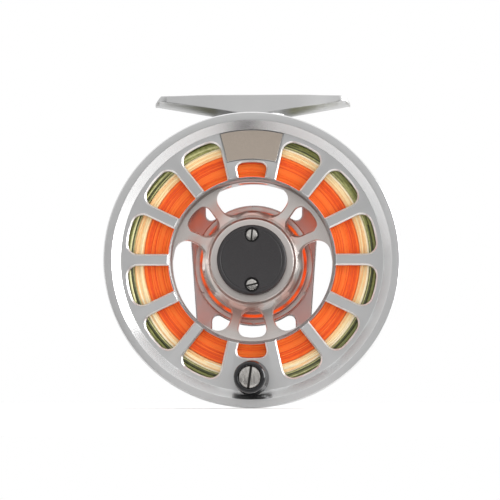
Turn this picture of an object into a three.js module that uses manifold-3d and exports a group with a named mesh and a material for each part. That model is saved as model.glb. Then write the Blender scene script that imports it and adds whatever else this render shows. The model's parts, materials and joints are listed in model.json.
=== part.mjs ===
// A 95 mm fly reel: a machined cage on a rod foot, a large arbor spool with a
// palming rim, a sealed multi-disc drag with its adjuster knob, and a one-way hub.
// Millimetres, +Z up. The reel's axis runs along Y and the handle side faces -Y.
// The origin is the middle of the flat strip on top of the foot.

import * as THREE from 'three';
import { mergeVertices } from 'three/addons/utils/BufferGeometryUtils.js';
import Module from 'manifold-3d';

const wasm = await Module();
wasm.setup();

// ---- Driving dimensions ----------------------------------------------------

const reelDiameter = 95; // palming rim, outside
const windingWidth = 20; // between the two spool flanges
const arborRadius = 27.2; // where the backing starts
const footLength = 64.4; // fits a rod's reel seat
const spindleRadius = 3;
const hubRadius = 8.6; // one-way clutch hub, outside
const dragRadius = 18; // drag housing, outside
const windowPitches = 14; // ribs and windows round each flange

// Fits
const seatGap = 0.1; // faces that rest on each other
const turnGap = 0.2; // pieces that turn past each other
const pocketGap = 0.3; // let-in plates
const screwGap = 0.15; // a screw in its hole

// Spool
const rimWidth = 3; // flat outer face of the palming rim band
const bevelWidth = 2.4;
const flangeDrop = 3; // rim front down to the flange face
const rimDepth = 6.4;
const flangeThickness = 2.2;
const backFlangeThickness = 1.8;
const arborWall = 1;
const arborStep = 0.9; // the arbor is wider behind the web
const ribWidth = 3.7;
const windowCorner = 3.3;
const webThickness = 2.6;
const webRecess = 7.2; // flange face down to the web
const spokeWidth = 3.2;
const pairSpread = THREE.MathUtils.degToRad(16); // half the angle of a spoke pair
const hubRingRadius = 13.5; // top of the cone round the cap
const coneRadius = 16.2; // foot of that cone
const coneHeight = 2.2;
const hubWall = 2;
const bossWall = 4;
const portHalfWidth = 5;
const screwShank = 1.1; // cap and handle screws

// Cap and its screws
const capRadius = 11.25;
const capHeight = 4.7;
const capScrewOffset = 8.05;
const capHeadRadius = 1.85;

// Handle
const handleInset = 9.5; // rim edge to handle axis
const handleLength = 21.5;
const handleBase = 5.6;
const handleWaist = 4.3;
const handleFront = 5;
const handleScrewRadius = 3.45;
const handlePostRadius = 2;
const handleStudRadius = 1.5; // pressed through the flange

// Counterweight
const weightHalfAngle = THREE.MathUtils.degToRad(14.4);
const weightInner = 33.2;
const weightDepth = 1.4;

// Cage
const cageWall = 4.2;
const cageGap = 1.4; // spool flange to cage wall, round the edge
const ringDepth = 3; // front ring, along the axis
const plateThickness = 3.2;
const pillarHalfAngle = THREE.MathUtils.degToRad(6);
const bridgeHalfAngle = THREE.MathUtils.degToRad(16);
const pillarAngles = [30, 150, 215, 325].map(THREE.MathUtils.degToRad);
const bossRing = 2.3; // back plate left standing round the drag housing
const plateBorder = 3.9; // and inside the cage wall
const upperHalfWidth = 16.2; // back plate openings above and below the drag
const lowerHalfWidth = 14;

// Foot
const footRise = 6.7; // rim edge up to the rod face
const footHalfWidth = 7.4;
const footTipHalfWidth = 5.6;
const footSaddle = 0.5; // side edges above the flat middle strip
const footTipEdge = 0.9; // depth of the side edges at the tips
const footSlope = 0.165; // and its growth towards the middle
const footCrown = 1.4; // the underside's extra depth along its middle
const footRamp = 1.6; // the tips' top runs down by this, for the seat's hoods
const footScrewOffset = 6;
const pedestalHalfLength = 11.4;
const pedestalHalfWidth = 6.8;

// Drag
const housingWall = 1.4;
const discThickness = 0.8;
const discGap = 0.1;
const knobRadius = 16.5;
const knobDepth = 8.4;
const knobScallops = 10;
const adjusterRadius = 5;
const gearTeeth = 28;

// Wound line, as shares of the room between arbor and flange edge
const backingShare = 0.575;
const runningShare = 0.245;

// ---- Derived sizes: radii from the reel's axis, depths behind the rim face --

const rimRadius = reelDiameter / 2;
const bevelTop = rimRadius - rimWidth + 0.4;
const faceRadius = bevelTop - bevelWidth;
const flangeFront = flangeDrop;
const flangeInside = flangeFront + flangeThickness;
const backInside = flangeInside + windingWidth;
const flangeBack = backInside + backFlangeThickness;
const backRadius = rimRadius - 6.5;
const lineRadius = backRadius - 0.6;
const windowOuter = lineRadius;
const arborInside = arborRadius - arborWall;
const pitch = (2 * Math.PI) / windowPitches;
const webFront = flangeFront + webRecess;
const webBack = webFront + webThickness;
const capSeat = webFront - coneHeight;
const hubBore = hubRadius + 2 * turnGap;
const handleRadius = rimRadius - handleInset;
const smallWindowOuter = handleRadius - 6;

const cageFront = rimDepth + 0.6;
const cageInside = backRadius + cageGap;
const cageRadius = cageInside + cageWall;
const plateFront = flangeBack + 1.2;
const plateBack = plateFront + plateThickness;
const plateEdge = plateFront - 2.4;
const footDepth = (cageFront + flangeBack) / 2;
const axisDrop = rimRadius + footRise;
const padHeight = cageRadius - cageGap;

const housingFront = plateFront - 4.8;
const housingBack = plateBack + 2.8;
const housingInside = dragRadius - housingWall;
const stackFront = plateFront - 2.8;
const stackStep = discThickness + discGap;
const hubFront = capSeat + hubWall + 0.4;
const hubBack = stackFront + 4.3;
const gearFront = housingFront - 4;
const gearDepth = 1.2;
const gearRadius = hubRadius + 3.4;
const pawlRadius = gearRadius + 2.2;
const clickPost = new THREE.Vector2(-5.6, pawlRadius + 0.5);
const clickPostRadius = 0.6;
const pinRadius = 0.8;
const coverFront = housingFront - 1.8;
const knobFront = housingBack + 0.4;

// ---- Helpers ---------------------------------------------------------------

// Segments round big, middling and small turned pieces: multiples of four, so
// that each piece measures its full diameter both across and down.
const fine = 44;
const medium = 24;
const coarse = 12;

// A closed solid, ready to be joined or cut.
function solid(geometry) {
  const bare = geometry.clone();
  bare.deleteAttribute('normal');
  bare.deleteAttribute('uv');
  const merged = mergeVertices(bare, 1e-4);
  const corners = merged.index.array;
  const triangles = [];
  for (let i = 0; i < corners.length; i += 3) {
    const [a, b, c] = corners.slice(i, i + 3);
    if (a !== b && b !== c && c !== a) triangles.push(a, b, c);
  }
  const mesh = new wasm.Mesh({
    numProp: 3,
    vertProperties: merged.attributes.position.array,
    triVerts: new Uint32Array(triangles),
  });
  return new wasm.Manifold(mesh);
}

// The body with every one of the cutters taken out of it.
function cutAll(body, cutters) {
  return cutters.reduce((rest, cutter) => rest.subtract(cutter), body);
}

function toGeometry(body) {
  const mesh = body.getMesh();
  const geometry = new THREE.BufferGeometry();
  geometry.setAttribute('position', new THREE.BufferAttribute(mesh.vertProperties, 3));
  geometry.setIndex(new THREE.BufferAttribute(mesh.triVerts, 1));
  geometry.computeVertexNormals();
  return geometry;
}

// A turned piece round the Y axis through (x, z). Its outline is a loop of
// [radius, depth] corners that starts and ends on the axis or closes on itself.
function turned(outline, segments, x = 0, z = 0) {
  const area = outline.reduce((sum, [r, s], i) => {
    const [rNext, sNext] = outline[(i + 1) % outline.length];
    return sum + r * sNext - rNext * s;
  }, 0);
  const loop = area > 0 ? [...outline] : [...outline].reverse();
  loop.push(loop[0]);
  const points = loop.map(([r, s]) => new THREE.Vector2(r, s));
  const geometry = new THREE.LatheGeometry(points, segments);
  geometry.translate(x, 0, z);
  return solid(geometry);
}

// A plain ring, or a disc when its inner radius is 0.
function ring(inner, outer, front, back, segments, x = 0, z = 0) {
  return turned([[inner, front], [outer, front], [outer, back], [inner, back]], segments, x, z);
}

// A flat outline in X and Z, as thick as front to back along Y.
function plate(outline, front, back) {
  const shape = Array.isArray(outline) ? new THREE.Shape(outline) : outline;
  const settings = { depth: back - front, bevelEnabled: false, curveSegments: 8 };
  const geometry = new THREE.ExtrudeGeometry(shape, settings);
  geometry.rotateX(Math.PI / 2);
  geometry.translate(0, back, 0);
  return solid(geometry);
}

function block(width, depth, height, x, y, z) {
  const geometry = new THREE.BoxGeometry(width, depth, height);
  geometry.translate(x, y, z);
  return solid(geometry);
}

function polar(radius, angle) {
  return new THREE.Vector2(radius * Math.cos(angle), radius * Math.sin(angle));
}

// Rounds the corners of a polygon: each corner is [point, radius].
function rounded(corners, steps = 3) {
  const points = [];
  corners.forEach(([corner, radius], i) => {
    if (!radius) {
      points.push(corner);
      return;
    }
    const before = corners[(i + corners.length - 1) % corners.length][0];
    const after = corners[(i + 1) % corners.length][0];
    const inward = before.clone().sub(corner).normalize();
    const outward = after.clone().sub(corner).normalize();
    const half = inward.angleTo(outward) / 2;
    const centre = inward.clone().add(outward).normalize();
    centre.multiplyScalar(radius / Math.sin(half)).add(corner);
    const start = inward.multiplyScalar(radius / Math.tan(half)).add(corner).sub(centre);
    const end = outward.multiplyScalar(radius / Math.tan(half)).add(corner).sub(centre);
    let turn = end.angle() - start.angle();
    if (turn > Math.PI) turn -= 2 * Math.PI;
    if (turn < -Math.PI) turn += 2 * Math.PI;
    for (let step = 0; step <= steps; step += 1) {
      points.push(start.clone().rotateAround(new THREE.Vector2(), (turn * step) / steps).add(centre));
    }
  });
  return points;
}

// The outline of an opening between two parallel-sided spokes whose centre
// lines are halfAngle either side of the middle direction.
function betweenSpokes(middle, halfAngle, [inner, outer], spoke, [innerCorner, outerCorner], steps) {
  const edge = (radius, side) => {
    const along = Math.sqrt(radius ** 2 - (spoke / 2) ** 2);
    const across = side * (along * Math.sin(halfAngle) - (spoke / 2) * Math.cos(halfAngle));
    const out = along * Math.cos(halfAngle) + (spoke / 2) * Math.sin(halfAngle);
    return new THREE.Vector2(out, across);
  };
  const arc = (radius, count, sign) => {
    const reach = edge(radius, 1).angle();
    return Array.from({ length: count }, (_, i) => {
      const share = (2 * (i + 1)) / (count + 1) - 1;
      return [polar(radius, sign * share * reach), 0];
    });
  };
  const corners = [
    [edge(inner, -1), innerCorner],
    [edge(outer, -1), outerCorner],
    ...arc(outer, steps, 1),
    [edge(outer, 1), outerCorner],
    [edge(inner, 1), innerCorner],
    ...arc(inner, steps, -1),
  ];
  const origin = new THREE.Vector2();
  return rounded(corners, 2).map((point) => point.rotateAround(origin, middle));
}

// A ring sector with radial ends.
function sector(inner, outer, from, to) {
  const shape = new THREE.Shape();
  shape.absarc(0, 0, outer, from, to, false);
  shape.absarc(0, 0, inner, to, from, true);
  return shape;
}

// A round wire along a list of points.
function wire(points, radius, steps, sides) {
  const circle = Array.from({ length: sides }, (_, i) => polar(radius, (2 * Math.PI * i) / sides));
  const settings = { steps, bevelEnabled: false, extrudePath: new THREE.CatmullRomCurve3(points) };
  return solid(new THREE.ExtrudeGeometry(new THREE.Shape(circle), settings));
}

// ---- Finishes --------------------------------------------------------------

const satinGrey = { color: 0xa8a8a8, roughness: 0.45, metalness: 0.9 };
const hubGrey = { color: 0xb3aca2, roughness: 0.4, metalness: 0.9 };
const bronzeGrey = { color: 0xa89b8f, roughness: 0.5, metalness: 0.8 };
const capBlack = { color: 0x413f41, roughness: 0.5, metalness: 0.2 };
const handleBlack = { color: 0x0c0c0d, roughness: 0.15, metalness: 0.1 };
const steel = { color: 0xc9c7c4, roughness: 0.3, metalness: 1 };
const carbon = { color: 0x26272a, roughness: 0.7, metalness: 0 };
const brass = { color: 0xb9964f, roughness: 0.35, metalness: 1 };
const rubber = { color: 0x141414, roughness: 0.8, metalness: 0 };
const acetal = { color: 0xe6e2d8, roughness: 0.5, metalness: 0 };
const orangeBacking = { color: 0xff6a10, roughness: 0.6, metalness: 0 };
const peachLine = { color: 0xfccf94, roughness: 0.5, metalness: 0 };
const oliveLine = { color: 0x8e9a4c, roughness: 0.45, metalness: 0 };

const model = new THREE.Group();
const reel = new THREE.Group();
reel.position.set(0, -footDepth, -axisDrop);
model.add(reel);

function part(name, body, finish, parent = reel) {
  const mesh = new THREE.Mesh(toGeometry(body), new THREE.MeshStandardMaterial(finish));
  mesh.name = name;
  parent.add(mesh);
}

// ---- Spool -----------------------------------------------------------------

const top = Math.PI / 2;
const bottom = -Math.PI / 2;
const windowAngles = Array.from({ length: windowPitches }, (_, i) => top + i * pitch);
const oppositeWindow = windowPitches / 2;
const pairAngles = [1.5, 5.5, 10.5].map((pitches) => pitches * pitch);

function spoolBlank() {
  return turned([
    [spindleRadius + 1.6, capSeat],
    [hubRingRadius, capSeat],
    [coneRadius, webFront],
    [arborInside, webFront],
    [arborInside, flangeFront + 1.2],
    [arborRadius, flangeFront],
    [faceRadius, flangeFront],
    [bevelTop, 0],
    [rimRadius, 0],
    [rimRadius, rimDepth],
    [cageInside + 1.6, rimDepth],
    [cageInside + 1.2, flangeInside],
    [arborRadius, flangeInside],
    [arborRadius, webFront],
    [arborRadius + arborStep, webFront],
    [arborRadius + arborStep, backInside],
    [backRadius, backInside],
    [backRadius, flangeBack],
    [arborInside + arborStep, flangeBack],
    [arborInside + arborStep, webBack],
    [hubBore + bossWall + 2.5, webBack],
    [hubBore + bossWall, webBack + 1.7],
    [hubBore + bossWall, gearFront - 1],
    [hubBore, gearFront - 1],
    [hubBore, capSeat + hubWall],
    [spindleRadius + 1.6, capSeat + hubWall],
  ], fine);
}

function flangeWindow(angle, index, front, back) {
  const isSmall = index === 0 || index === oppositeWindow;
  const outer = isSmall ? smallWindowOuter : windowOuter;
  const corner = isSmall ? windowCorner / 2 : windowCorner;
  const inner = arborRadius + pocketGap;
  const steps = isSmall ? 1 : 2;
  const outline = betweenSpokes(angle, pitch / 2, [inner, outer], ribWidth, [0, corner], steps);
  return plate(outline, front - 1, back + 1);
}

// The gaps between the web's six spokes, which stand in three pairs.
function webOpening(from, to) {
  const narrow = to - from < 3 * pairSpread;
  const inner = coneRadius + (narrow ? 0 : 0.4);
  const outer = arborInside - (narrow ? 1.4 : 0.2);
  const corner = Math.min(narrow ? 2.5 : 4, 0.45 * (outer - inner));
  const middle = (from + to) / 2;
  const span = (to - from) / 2;
  const steps = narrow ? 1 : 5;
  const outline = betweenSpokes(middle, span, [inner, outer], spokeWidth, [corner, corner], steps);
  return plate(outline, webFront - 1, webBack + 1);
}

function webOpenings() {
  const spokes = pairAngles.flatMap((angle) => [angle - pairSpread, angle + pairSpread]);
  return spokes.map((from, i) => {
    const to = i + 1 < spokes.length ? spokes[i + 1] : spokes[0] + 2 * Math.PI;
    return webOpening(from, to);
  });
}

// A rounded slot through the arbor wall, under each window.
function arborPort(angle) {
  const front = webBack + 1;
  const back = backInside - 0.6;
  const corner = 2;
  const outline = rounded([
    [new THREE.Vector2(-portHalfWidth, front), corner],
    [new THREE.Vector2(portHalfWidth, front), corner],
    [new THREE.Vector2(portHalfWidth, back), corner],
    [new THREE.Vector2(-portHalfWidth, back), corner],
  ], 1);
  const geometry = new THREE.ExtrudeGeometry(new THREE.Shape(outline), {
    depth: arborStep + 3 * arborWall,
    bevelEnabled: false,
  });
  geometry.translate(0, 0, arborInside - arborWall);
  geometry.rotateY(Math.PI / 2 - angle);
  return solid(geometry);
}

const weightOuter = faceRadius - 0.05;

function weightPocket() {
  const outline = sector(weightInner, weightOuter, top - weightHalfAngle, top + weightHalfAngle);
  return plate(outline, flangeFront - 1, flangeFront + weightDepth);
}

function makeSpool() {
  const screwHoles = [-1, 1].map((side) => {
    const end = capSeat + hubWall + 0.1;
    return ring(0, screwShank + screwGap, capSeat - 1, end, coarse, 0, side * capScrewOffset);
  });
  const studHole = ring(0, handleStudRadius + screwGap, 0, flangeInside + 1, coarse, 0, -handleRadius);
  const frontWindows = windowAngles.map((angle, i) => flangeWindow(angle, i, flangeFront, flangeInside));
  const backWindows = windowAngles.map((angle, i) => flangeWindow(angle, i, backInside, flangeBack));
  const ports = windowAngles.map((angle) => arborPort(angle));
  const cutters = [...frontWindows, ...backWindows, ...ports, ...webOpenings(), weightPocket()];
  part('spool', cutAll(spoolBlank(), [...cutters, ...screwHoles, studHole]), satinGrey);
}

function makeCounterweight() {
  const side = pocketGap / weightInner;
  const outline = sector(
    weightInner + pocketGap,
    weightOuter - pocketGap,
    top - weightHalfAngle + side,
    top + weightHalfAngle - side,
  );
  part('counterweight', plate(outline, flangeFront - 0.1, flangeFront + weightDepth - seatGap), bronzeGrey);
}

function slot(width, length, front, depth, x, z, angle) {
  const geometry = new THREE.BoxGeometry(width, 2 * depth, length);
  geometry.rotateY(angle);
  geometry.translate(x, front, z);
  return solid(geometry);
}

function makeCap() {
  const front = capSeat - capHeight - seatGap;
  const back = capSeat - seatGap;
  const headSeat = front + 1.5;
  const body = turned([
    [0, front],
    [capRadius - 0.4, front],
    [capRadius, front + 0.4],
    [capRadius, back],
    [spindleRadius + 2.6, back],
    [spindleRadius + 2.6, front + 1.2],
    [0, front + 1.2],
  ], medium);
  const cutters = [-1, 1].flatMap((side) => [
    ring(0, capHeadRadius + 0.55, front - 1, headSeat, medium, 0, side * capScrewOffset),
    ring(0, screwShank + screwGap, front, back + 1, coarse, 0, side * capScrewOffset),
  ]);
  part('spool_cap', cutAll(body, cutters), capBlack);

  const screws = [['upper', 1, 0], ['lower', -1, Math.PI / 2]];
  screws.forEach(([place, side, angle]) => {
    const z = side * capScrewOffset;
    const headFront = front + 0.2;
    const headBack = headSeat - seatGap;
    const blank = turned([
      [0, headFront],
      [capHeadRadius, headFront],
      [capHeadRadius, headBack],
      [screwShank, headBack],
      [screwShank, capSeat + hubWall - 0.2],
      [0, capSeat + hubWall - 0.2],
    ], coarse, 0, z);
    part(`cap_screw_${place}`, blank.subtract(slot(0.5, 5, headFront, 0.5, 0, z, angle)), steel);
  });

  // A spring clip round the spindle's tip: a half circle with two straight legs.
  const wireRadius = 0.4;
  const reach = spindleRadius + 0.15 + wireRadius;
  const level = front + 3;
  const bend = Array.from({ length: 7 }, (_, i) => {
    const angle = (Math.PI * i) / 6;
    return new THREE.Vector3(reach * Math.cos(angle), level, reach * Math.sin(angle));
  });
  const legs = [1, -1].map((side) => new THREE.Vector3(side * reach, level, -3));
  part('latch_spring', wire([legs[0], ...bend, legs[1]], wireRadius, 14, 6), steel);
}

// ---- Handle ----------------------------------------------------------------

function makeHandle() {
  const z = -handleRadius;
  const base = flangeFront - 1;
  const front = base - handleLength;
  const headDepth = 1.6;
  const headFront = front + 0.2;
  const postFront = headFront + headDepth + seatGap;
  const boreRadius = handlePostRadius + 0.9;
  const collarFront = base + seatGap;
  const collarBack = flangeFront - seatGap;
  const shankEnd = postFront + 8;

  part('handle_spindle', turned([
    [screwShank + screwGap, postFront],
    [handlePostRadius, postFront],
    [handlePostRadius, collarFront - seatGap],
    [handleStudRadius, collarFront - seatGap],
    [handleStudRadius, flangeInside - seatGap],
    [0, flangeInside - seatGap],
    [0, shankEnd + 0.5],
    [screwShank + screwGap, shankEnd + 0.5],
  ], coarse, 0, z), steel);
  const collar = ring(handleStudRadius + screwGap, 3, collarFront, collarBack, coarse, 0, z);
  part('handle_collar', collar, steel);
  part('handle_knob', turned([
    [boreRadius, base - 0.2],
    [handleBase - 0.5, base - 0.2],
    [handleBase, base - 1],
    [handleBase - 0.3, base - 3],
    [handleWaist, base - 7],
    [handleWaist + 0.1, base - 12],
    [handleFront, front + 2.2],
    [handleFront, front + 0.6],
    [handleFront - 0.5, front],
    [handleScrewRadius + screwGap, front],
    [handleScrewRadius + screwGap, postFront + 0.1],
    [boreRadius, postFront + 0.1],
  ], medium, 0, z), handleBlack);
  [['rear', base - 4], ['front', base - 16]].forEach(([place, start]) => {
    const inner = handlePostRadius + 0.1;
    const outer = boreRadius - seatGap;
    part(`handle_bush_${place}`, ring(inner, outer, start, start + 3, coarse, 0, z), acetal);
  });
  const screw = turned([
    [0, headFront],
    [handleScrewRadius - 0.2, headFront],
    [handleScrewRadius, headFront + 0.2],
    [handleScrewRadius, headFront + headDepth],
    [screwShank, headFront + headDepth],
    [screwShank, shankEnd],
    [0, shankEnd],
  ], medium, 0, z);
  part('handle_screw', screw.subtract(slot(0.8, 8, headFront, 0.8, 0, z, 0.12)), steel);
}

// ---- Wound line ------------------------------------------------------------

function makeWindings() {
  const front = flangeInside + pocketGap;
  const back = backInside - pocketGap;
  const start = arborRadius + pocketGap;
  const room = lineRadius - start;
  const backingOuter = start + backingShare * room;
  const runningOuter = backingOuter + runningShare * room;
  const backing = turned([
    [start, front],
    [backingOuter - seatGap, front],
    [backingOuter - seatGap, back],
    [start + arborStep, back],
    [start + arborStep, webFront - pocketGap],
    [start, webFront - pocketGap],
  ], fine);
  part('backing_winding', backing, orangeBacking);
  const running = ring(backingOuter, runningOuter - seatGap, front, back, fine);
  part('running_line_winding', running, peachLine);
  part('head_winding', ring(runningOuter, lineRadius, front, back, fine), oliveLine);
}

// ---- Cage ------------------------------------------------------------------

// The stretches of wall between pillars, where the line comes off.
function cageGaps() {
  const posts = [
    ...pillarAngles.map((angle) => [angle - pillarHalfAngle, angle + pillarHalfAngle]),
    [top - bridgeHalfAngle, top + bridgeHalfAngle],
  ].sort((a, b) => a[0] - b[0]);
  return posts.map(([, from], i) => {
    const to = i + 1 < posts.length ? posts[i + 1][0] : posts[0][0] + 2 * Math.PI;
    return plate(sector(cageInside - 1, cageRadius + 1, from, to), cageFront + ringDepth, plateEdge - 0.4);
  });
}

// The back plate's four openings leave two slanted arms and two upright legs.
function plateOpenings() {
  const inner = dragRadius + bossRing;
  const outer = cageInside - plateBorder;
  const radians = THREE.MathUtils.degToRad;
  const between = (radius, from, to, count) => Array.from({ length: count }, (_, i) => {
    return [polar(radius, THREE.MathUtils.lerp(from, to, (i + 1) / (count + 1))), 0];
  });

  // An opening with upright sides, above (sign 1) or below (sign -1) the drag.
  const upright = (halfWidth, sign) => {
    const low = Math.acos(halfWidth / inner);
    const high = Math.acos(halfWidth / outer);
    const corners = [
      [polar(inner, low), 2],
      [polar(outer, high), 3],
      ...between(outer, high, Math.PI - high, 4),
      [polar(outer, Math.PI - high), 3],
      [polar(inner, Math.PI - low), 2],
      ...between(inner, Math.PI - low, low, 4),
    ];
    return corners.map(([point, corner]) => [new THREE.Vector2(point.x, sign * point.y), corner]);
  };

  // The opening at the right (sign 1) or left (sign -1), straight on its inner side.
  const beside = (sign) => {
    const corners = [
      [polar(inner + 2.9, radians(24)), 2],
      [polar(outer, radians(33)), 3],
      ...between(outer, radians(33), radians(-62), 6),
      [polar(outer, radians(-62)), 3],
    ];
    return corners.map(([point, corner]) => [new THREE.Vector2(sign * point.x, point.y), corner]);
  };

  const outlines = [upright(upperHalfWidth, 1), upright(lowerHalfWidth, -1), beside(1), beside(-1)];
  return outlines.map((corners) => plate(rounded(corners), plateFront - 1, plateBack + 1));
}

function makeCage() {
  const blank = turned([
    [cageInside, cageFront],
    [cageRadius, cageFront],
    [cageRadius, plateEdge],
    [cageRadius + 0.4, plateEdge + 0.4],
    [cageRadius + 0.4, plateBack - 0.8],
    [cageRadius - 0.4, plateBack],
    [dragRadius + pocketGap, plateBack],
    [dragRadius + pocketGap, plateFront - 0.8],
    [dragRadius + 2, plateFront - 0.8],
    [dragRadius + 2, plateFront],
    [cageInside, plateFront],
  ], fine);
  const padDepth = 2 * pedestalHalfWidth + 0.6;
  const pad = block(30, padDepth, 4, 0, footDepth, padHeight + 2);
  const screwCuts = [-1, 1].flatMap((side) => {
    const x = side * footScrewOffset;
    return [
      upright(0, 2.2 + 2 * screwGap, padHeight - 6, padHeight - 1.15, x, footDepth),
      upright(0, 1.4 + screwGap, padHeight - 3, padHeight + 1, x, footDepth),
    ];
  });
  part('frame', cutAll(blank, [...cageGaps(), ...plateOpenings(), pad, ...screwCuts]), satinGrey);
}

// An upright turned piece, from one height to another.
function upright(inner, outer, low, high, x, y) {
  return uprightTurned([[inner, low], [outer, low], [outer, high], [inner, high]], x, y);
}

function uprightTurned(outline, x, y) {
  const points = [...outline, outline[0]].map(([r, h]) => new THREE.Vector2(r, h));
  const geometry = new THREE.LatheGeometry(points, coarse);
  geometry.rotateX(Math.PI / 2);
  geometry.translate(x, y, 0);
  return solid(geometry);
}

// ---- Foot ------------------------------------------------------------------

// Half-width and heights of the foot at a distance from its middle.
function footSection(x) {
  const half = footLength / 2;
  const tipStart = half - 4.2;
  const taper = THREE.MathUtils.smoothstep(x, 14, tipStart);
  const straight = THREE.MathUtils.lerp(footHalfWidth, footTipHalfWidth, taper);
  const round = Math.max(0, (x - tipStart) / (half + 0.15 - tipStart));
  const width = straight * Math.sqrt(1 - round ** 2);
  const ramp = Math.max(0, x - (half - 2)) / 2;
  const topMiddle = -footRamp * ramp;
  const topEdge = topMiddle + footSaddle * (1 - ramp);
  const line = footTipEdge + footSlope * (half - x);
  const edge = Math.max(line, footRamp * ramp + 0.7);
  const middle = Math.max(line + footCrown, edge + 0.2);
  return { width, topMiddle, topEdge, edge, middle };
}

function footLoft() {
  const half = footLength / 2;
  const reach = [0, 6, 11, 15, 19, 23, half - 4.2, half - 2, half - 1, half - 0.4, half];
  const stations = [...reach.slice(1).map((x) => -x).reverse(), ...reach];
  const rings = stations.map((x) => {
    const { width, topMiddle, topEdge, edge, middle } = footSection(Math.abs(x));
    const flat = 0.55 * width;
    const shoulder = THREE.MathUtils.lerp(edge, middle, 0.7);
    return [
      [-width, topEdge], [-flat, topMiddle], [flat, topMiddle], [width, topEdge],
      [width, -edge], [flat, -shoulder], [0, -middle], [-flat, -shoulder], [-width, -edge],
    ].map(([y, z]) => [x, y, z]);
  });
  const count = rings[0].length;
  const triangles = [];
  for (let i = 0; i + 1 < rings.length; i += 1) {
    for (let j = 0; j < count; j += 1) {
      const next = (j + 1) % count;
      const [a, b, c, d] = [rings[i][j], rings[i][next], rings[i + 1][next], rings[i + 1][j]];
      triangles.push(a, c, b, a, d, c);
    }
  }
  for (let j = 1; j + 1 < count; j += 1) {
    triangles.push(rings[0][0], rings[0][j], rings[0][j + 1]);
    const end = rings[rings.length - 1];
    triangles.push(end[0], end[j + 1], end[j]);
  }
  const geometry = new THREE.BufferGeometry();
  geometry.setAttribute('position', new THREE.Float32BufferAttribute(triangles.flat(), 3));
  return geometry;
}

function makeFoot() {
  const long = pedestalHalfLength;
  const wide = pedestalHalfWidth;
  const plan = [[1, 0, 1], [0.9, 0.59, 1], [0.54, 1, 3], [-0.54, 1, 3], [-0.9, 0.59, 1], [-1, 0, 1],
    [-0.9, -0.59, 1], [-0.54, -1, 3], [0.54, -1, 3], [0.9, -0.59, 1]];
  const outline = rounded(plan.map(([x, y, corner]) => [new THREE.Vector2(x * long, y * wide), corner]), 2);
  const bottomLevel = padHeight + seatGap - axisDrop;
  const settings = { depth: -1.5 - bottomLevel, bevelEnabled: false };
  const pedestal = new THREE.ExtrudeGeometry(new THREE.Shape(outline), settings);
  pedestal.translate(0, 0, bottomLevel);
  const tappedHoles = [-1, 1].map((side) => {
    return upright(0, 1.4 + screwGap, bottomLevel - 1, bottomLevel + 6, side * footScrewOffset, 0);
  });
  const body = solid(footLoft()).add(solid(pedestal));
  part('reel_foot', cutAll(body, tappedHoles), satinGrey, model);

  [['left', -1], ['right', 1]].forEach(([place, side]) => {
    const x = side * footScrewOffset;
    const headTop = padHeight - 1.15 - seatGap;
    const blank = uprightTurned([
      [0, headTop - 1.7],
      [2.2, headTop - 1.7],
      [2.2, headTop],
      [1.4, headTop],
      [1.4, padHeight + 5.6],
      [0, padHeight + 5.6],
    ], x, footDepth);
    const driveSlot = block(6, 0.6, 1.2, x, footDepth, headTop - 1.7);
    part(`foot_screw_${place}`, blank.subtract(driveSlot), steel);
  });
}

// ---- Spindle and one-way hub -------------------------------------------------

function makeSpindle() {
  const tip = capSeat - 3.1;
  const clipFront = capSeat + hubWall - 0.3;
  const clipBack = clipFront + 0.6;
  part('spindle', turned([
    [0, tip],
    [spindleRadius - 0.5, tip],
    [spindleRadius, tip + 0.5],
    [spindleRadius, tip + 1.1],
    [spindleRadius - 0.6, tip + 1.1],
    [spindleRadius - 0.6, tip + 1.9],
    [spindleRadius, tip + 1.9],
    [spindleRadius, clipFront - 0.05],
    [spindleRadius - 0.5, clipFront - 0.05],
    [spindleRadius - 0.5, clipBack + 0.05],
    [spindleRadius, clipBack + 0.05],
    [spindleRadius, housingBack + 1.8],
    [0, housingBack + 1.8],
  ], medium), steel);

  // A split ring in the spindle's groove holds the hub on.
  const clip = ring(spindleRadius - 0.4, spindleRadius + 1.4, clipFront, clipBack, medium);
  const split = block(2, 2, 4, 0, clipFront, -(spindleRadius + 1));
  part('retaining_clip', clip.subtract(split), steel);
}

function makeHub() {
  const bore = hubRadius - 2;
  const fit = bore - seatGap;
  const shaft = spindleRadius + seatGap;
  part('clutch_hub', ring(bore, hubRadius, hubFront, hubBack, medium), steel);

  const bearings = [['front', hubFront + 0.4], ['rear', hubBack - 3.7]];
  bearings.forEach(([place, front]) => {
    part(`${place}_bearing`, ring(shaft, fit, front, front + 3, medium), steel);
  });
  const clutchFront = hubFront + 4.6;
  const clutchBack = Math.min(clutchFront + 8, hubBack - 4.2);
  part('roller_clutch', ring(shaft, fit, clutchFront, clutchBack, medium), steel);

  // Click gear: a toothed ring pressed on the hub.
  const gear = new THREE.Shape();
  for (let tooth = 0; tooth < gearTeeth; tooth += 1) {
    const angle = (2 * Math.PI * tooth) / gearTeeth;
    const root = polar(gearRadius - 1, angle);
    const crown = polar(gearRadius, angle + Math.PI / gearTeeth);
    if (tooth === 0) gear.moveTo(root.x, root.y);
    else gear.lineTo(root.x, root.y);
    gear.lineTo(crown.x, crown.y);
  }
  const blank = plate(gear, gearFront, gearFront + gearDepth);
  const hole = ring(0, hubRadius + seatGap, gearFront - 1, gearFront + gearDepth + 1, medium);
  part('click_gear', blank.subtract(hole), brass);
}

// ---- Click -------------------------------------------------------------------

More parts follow.
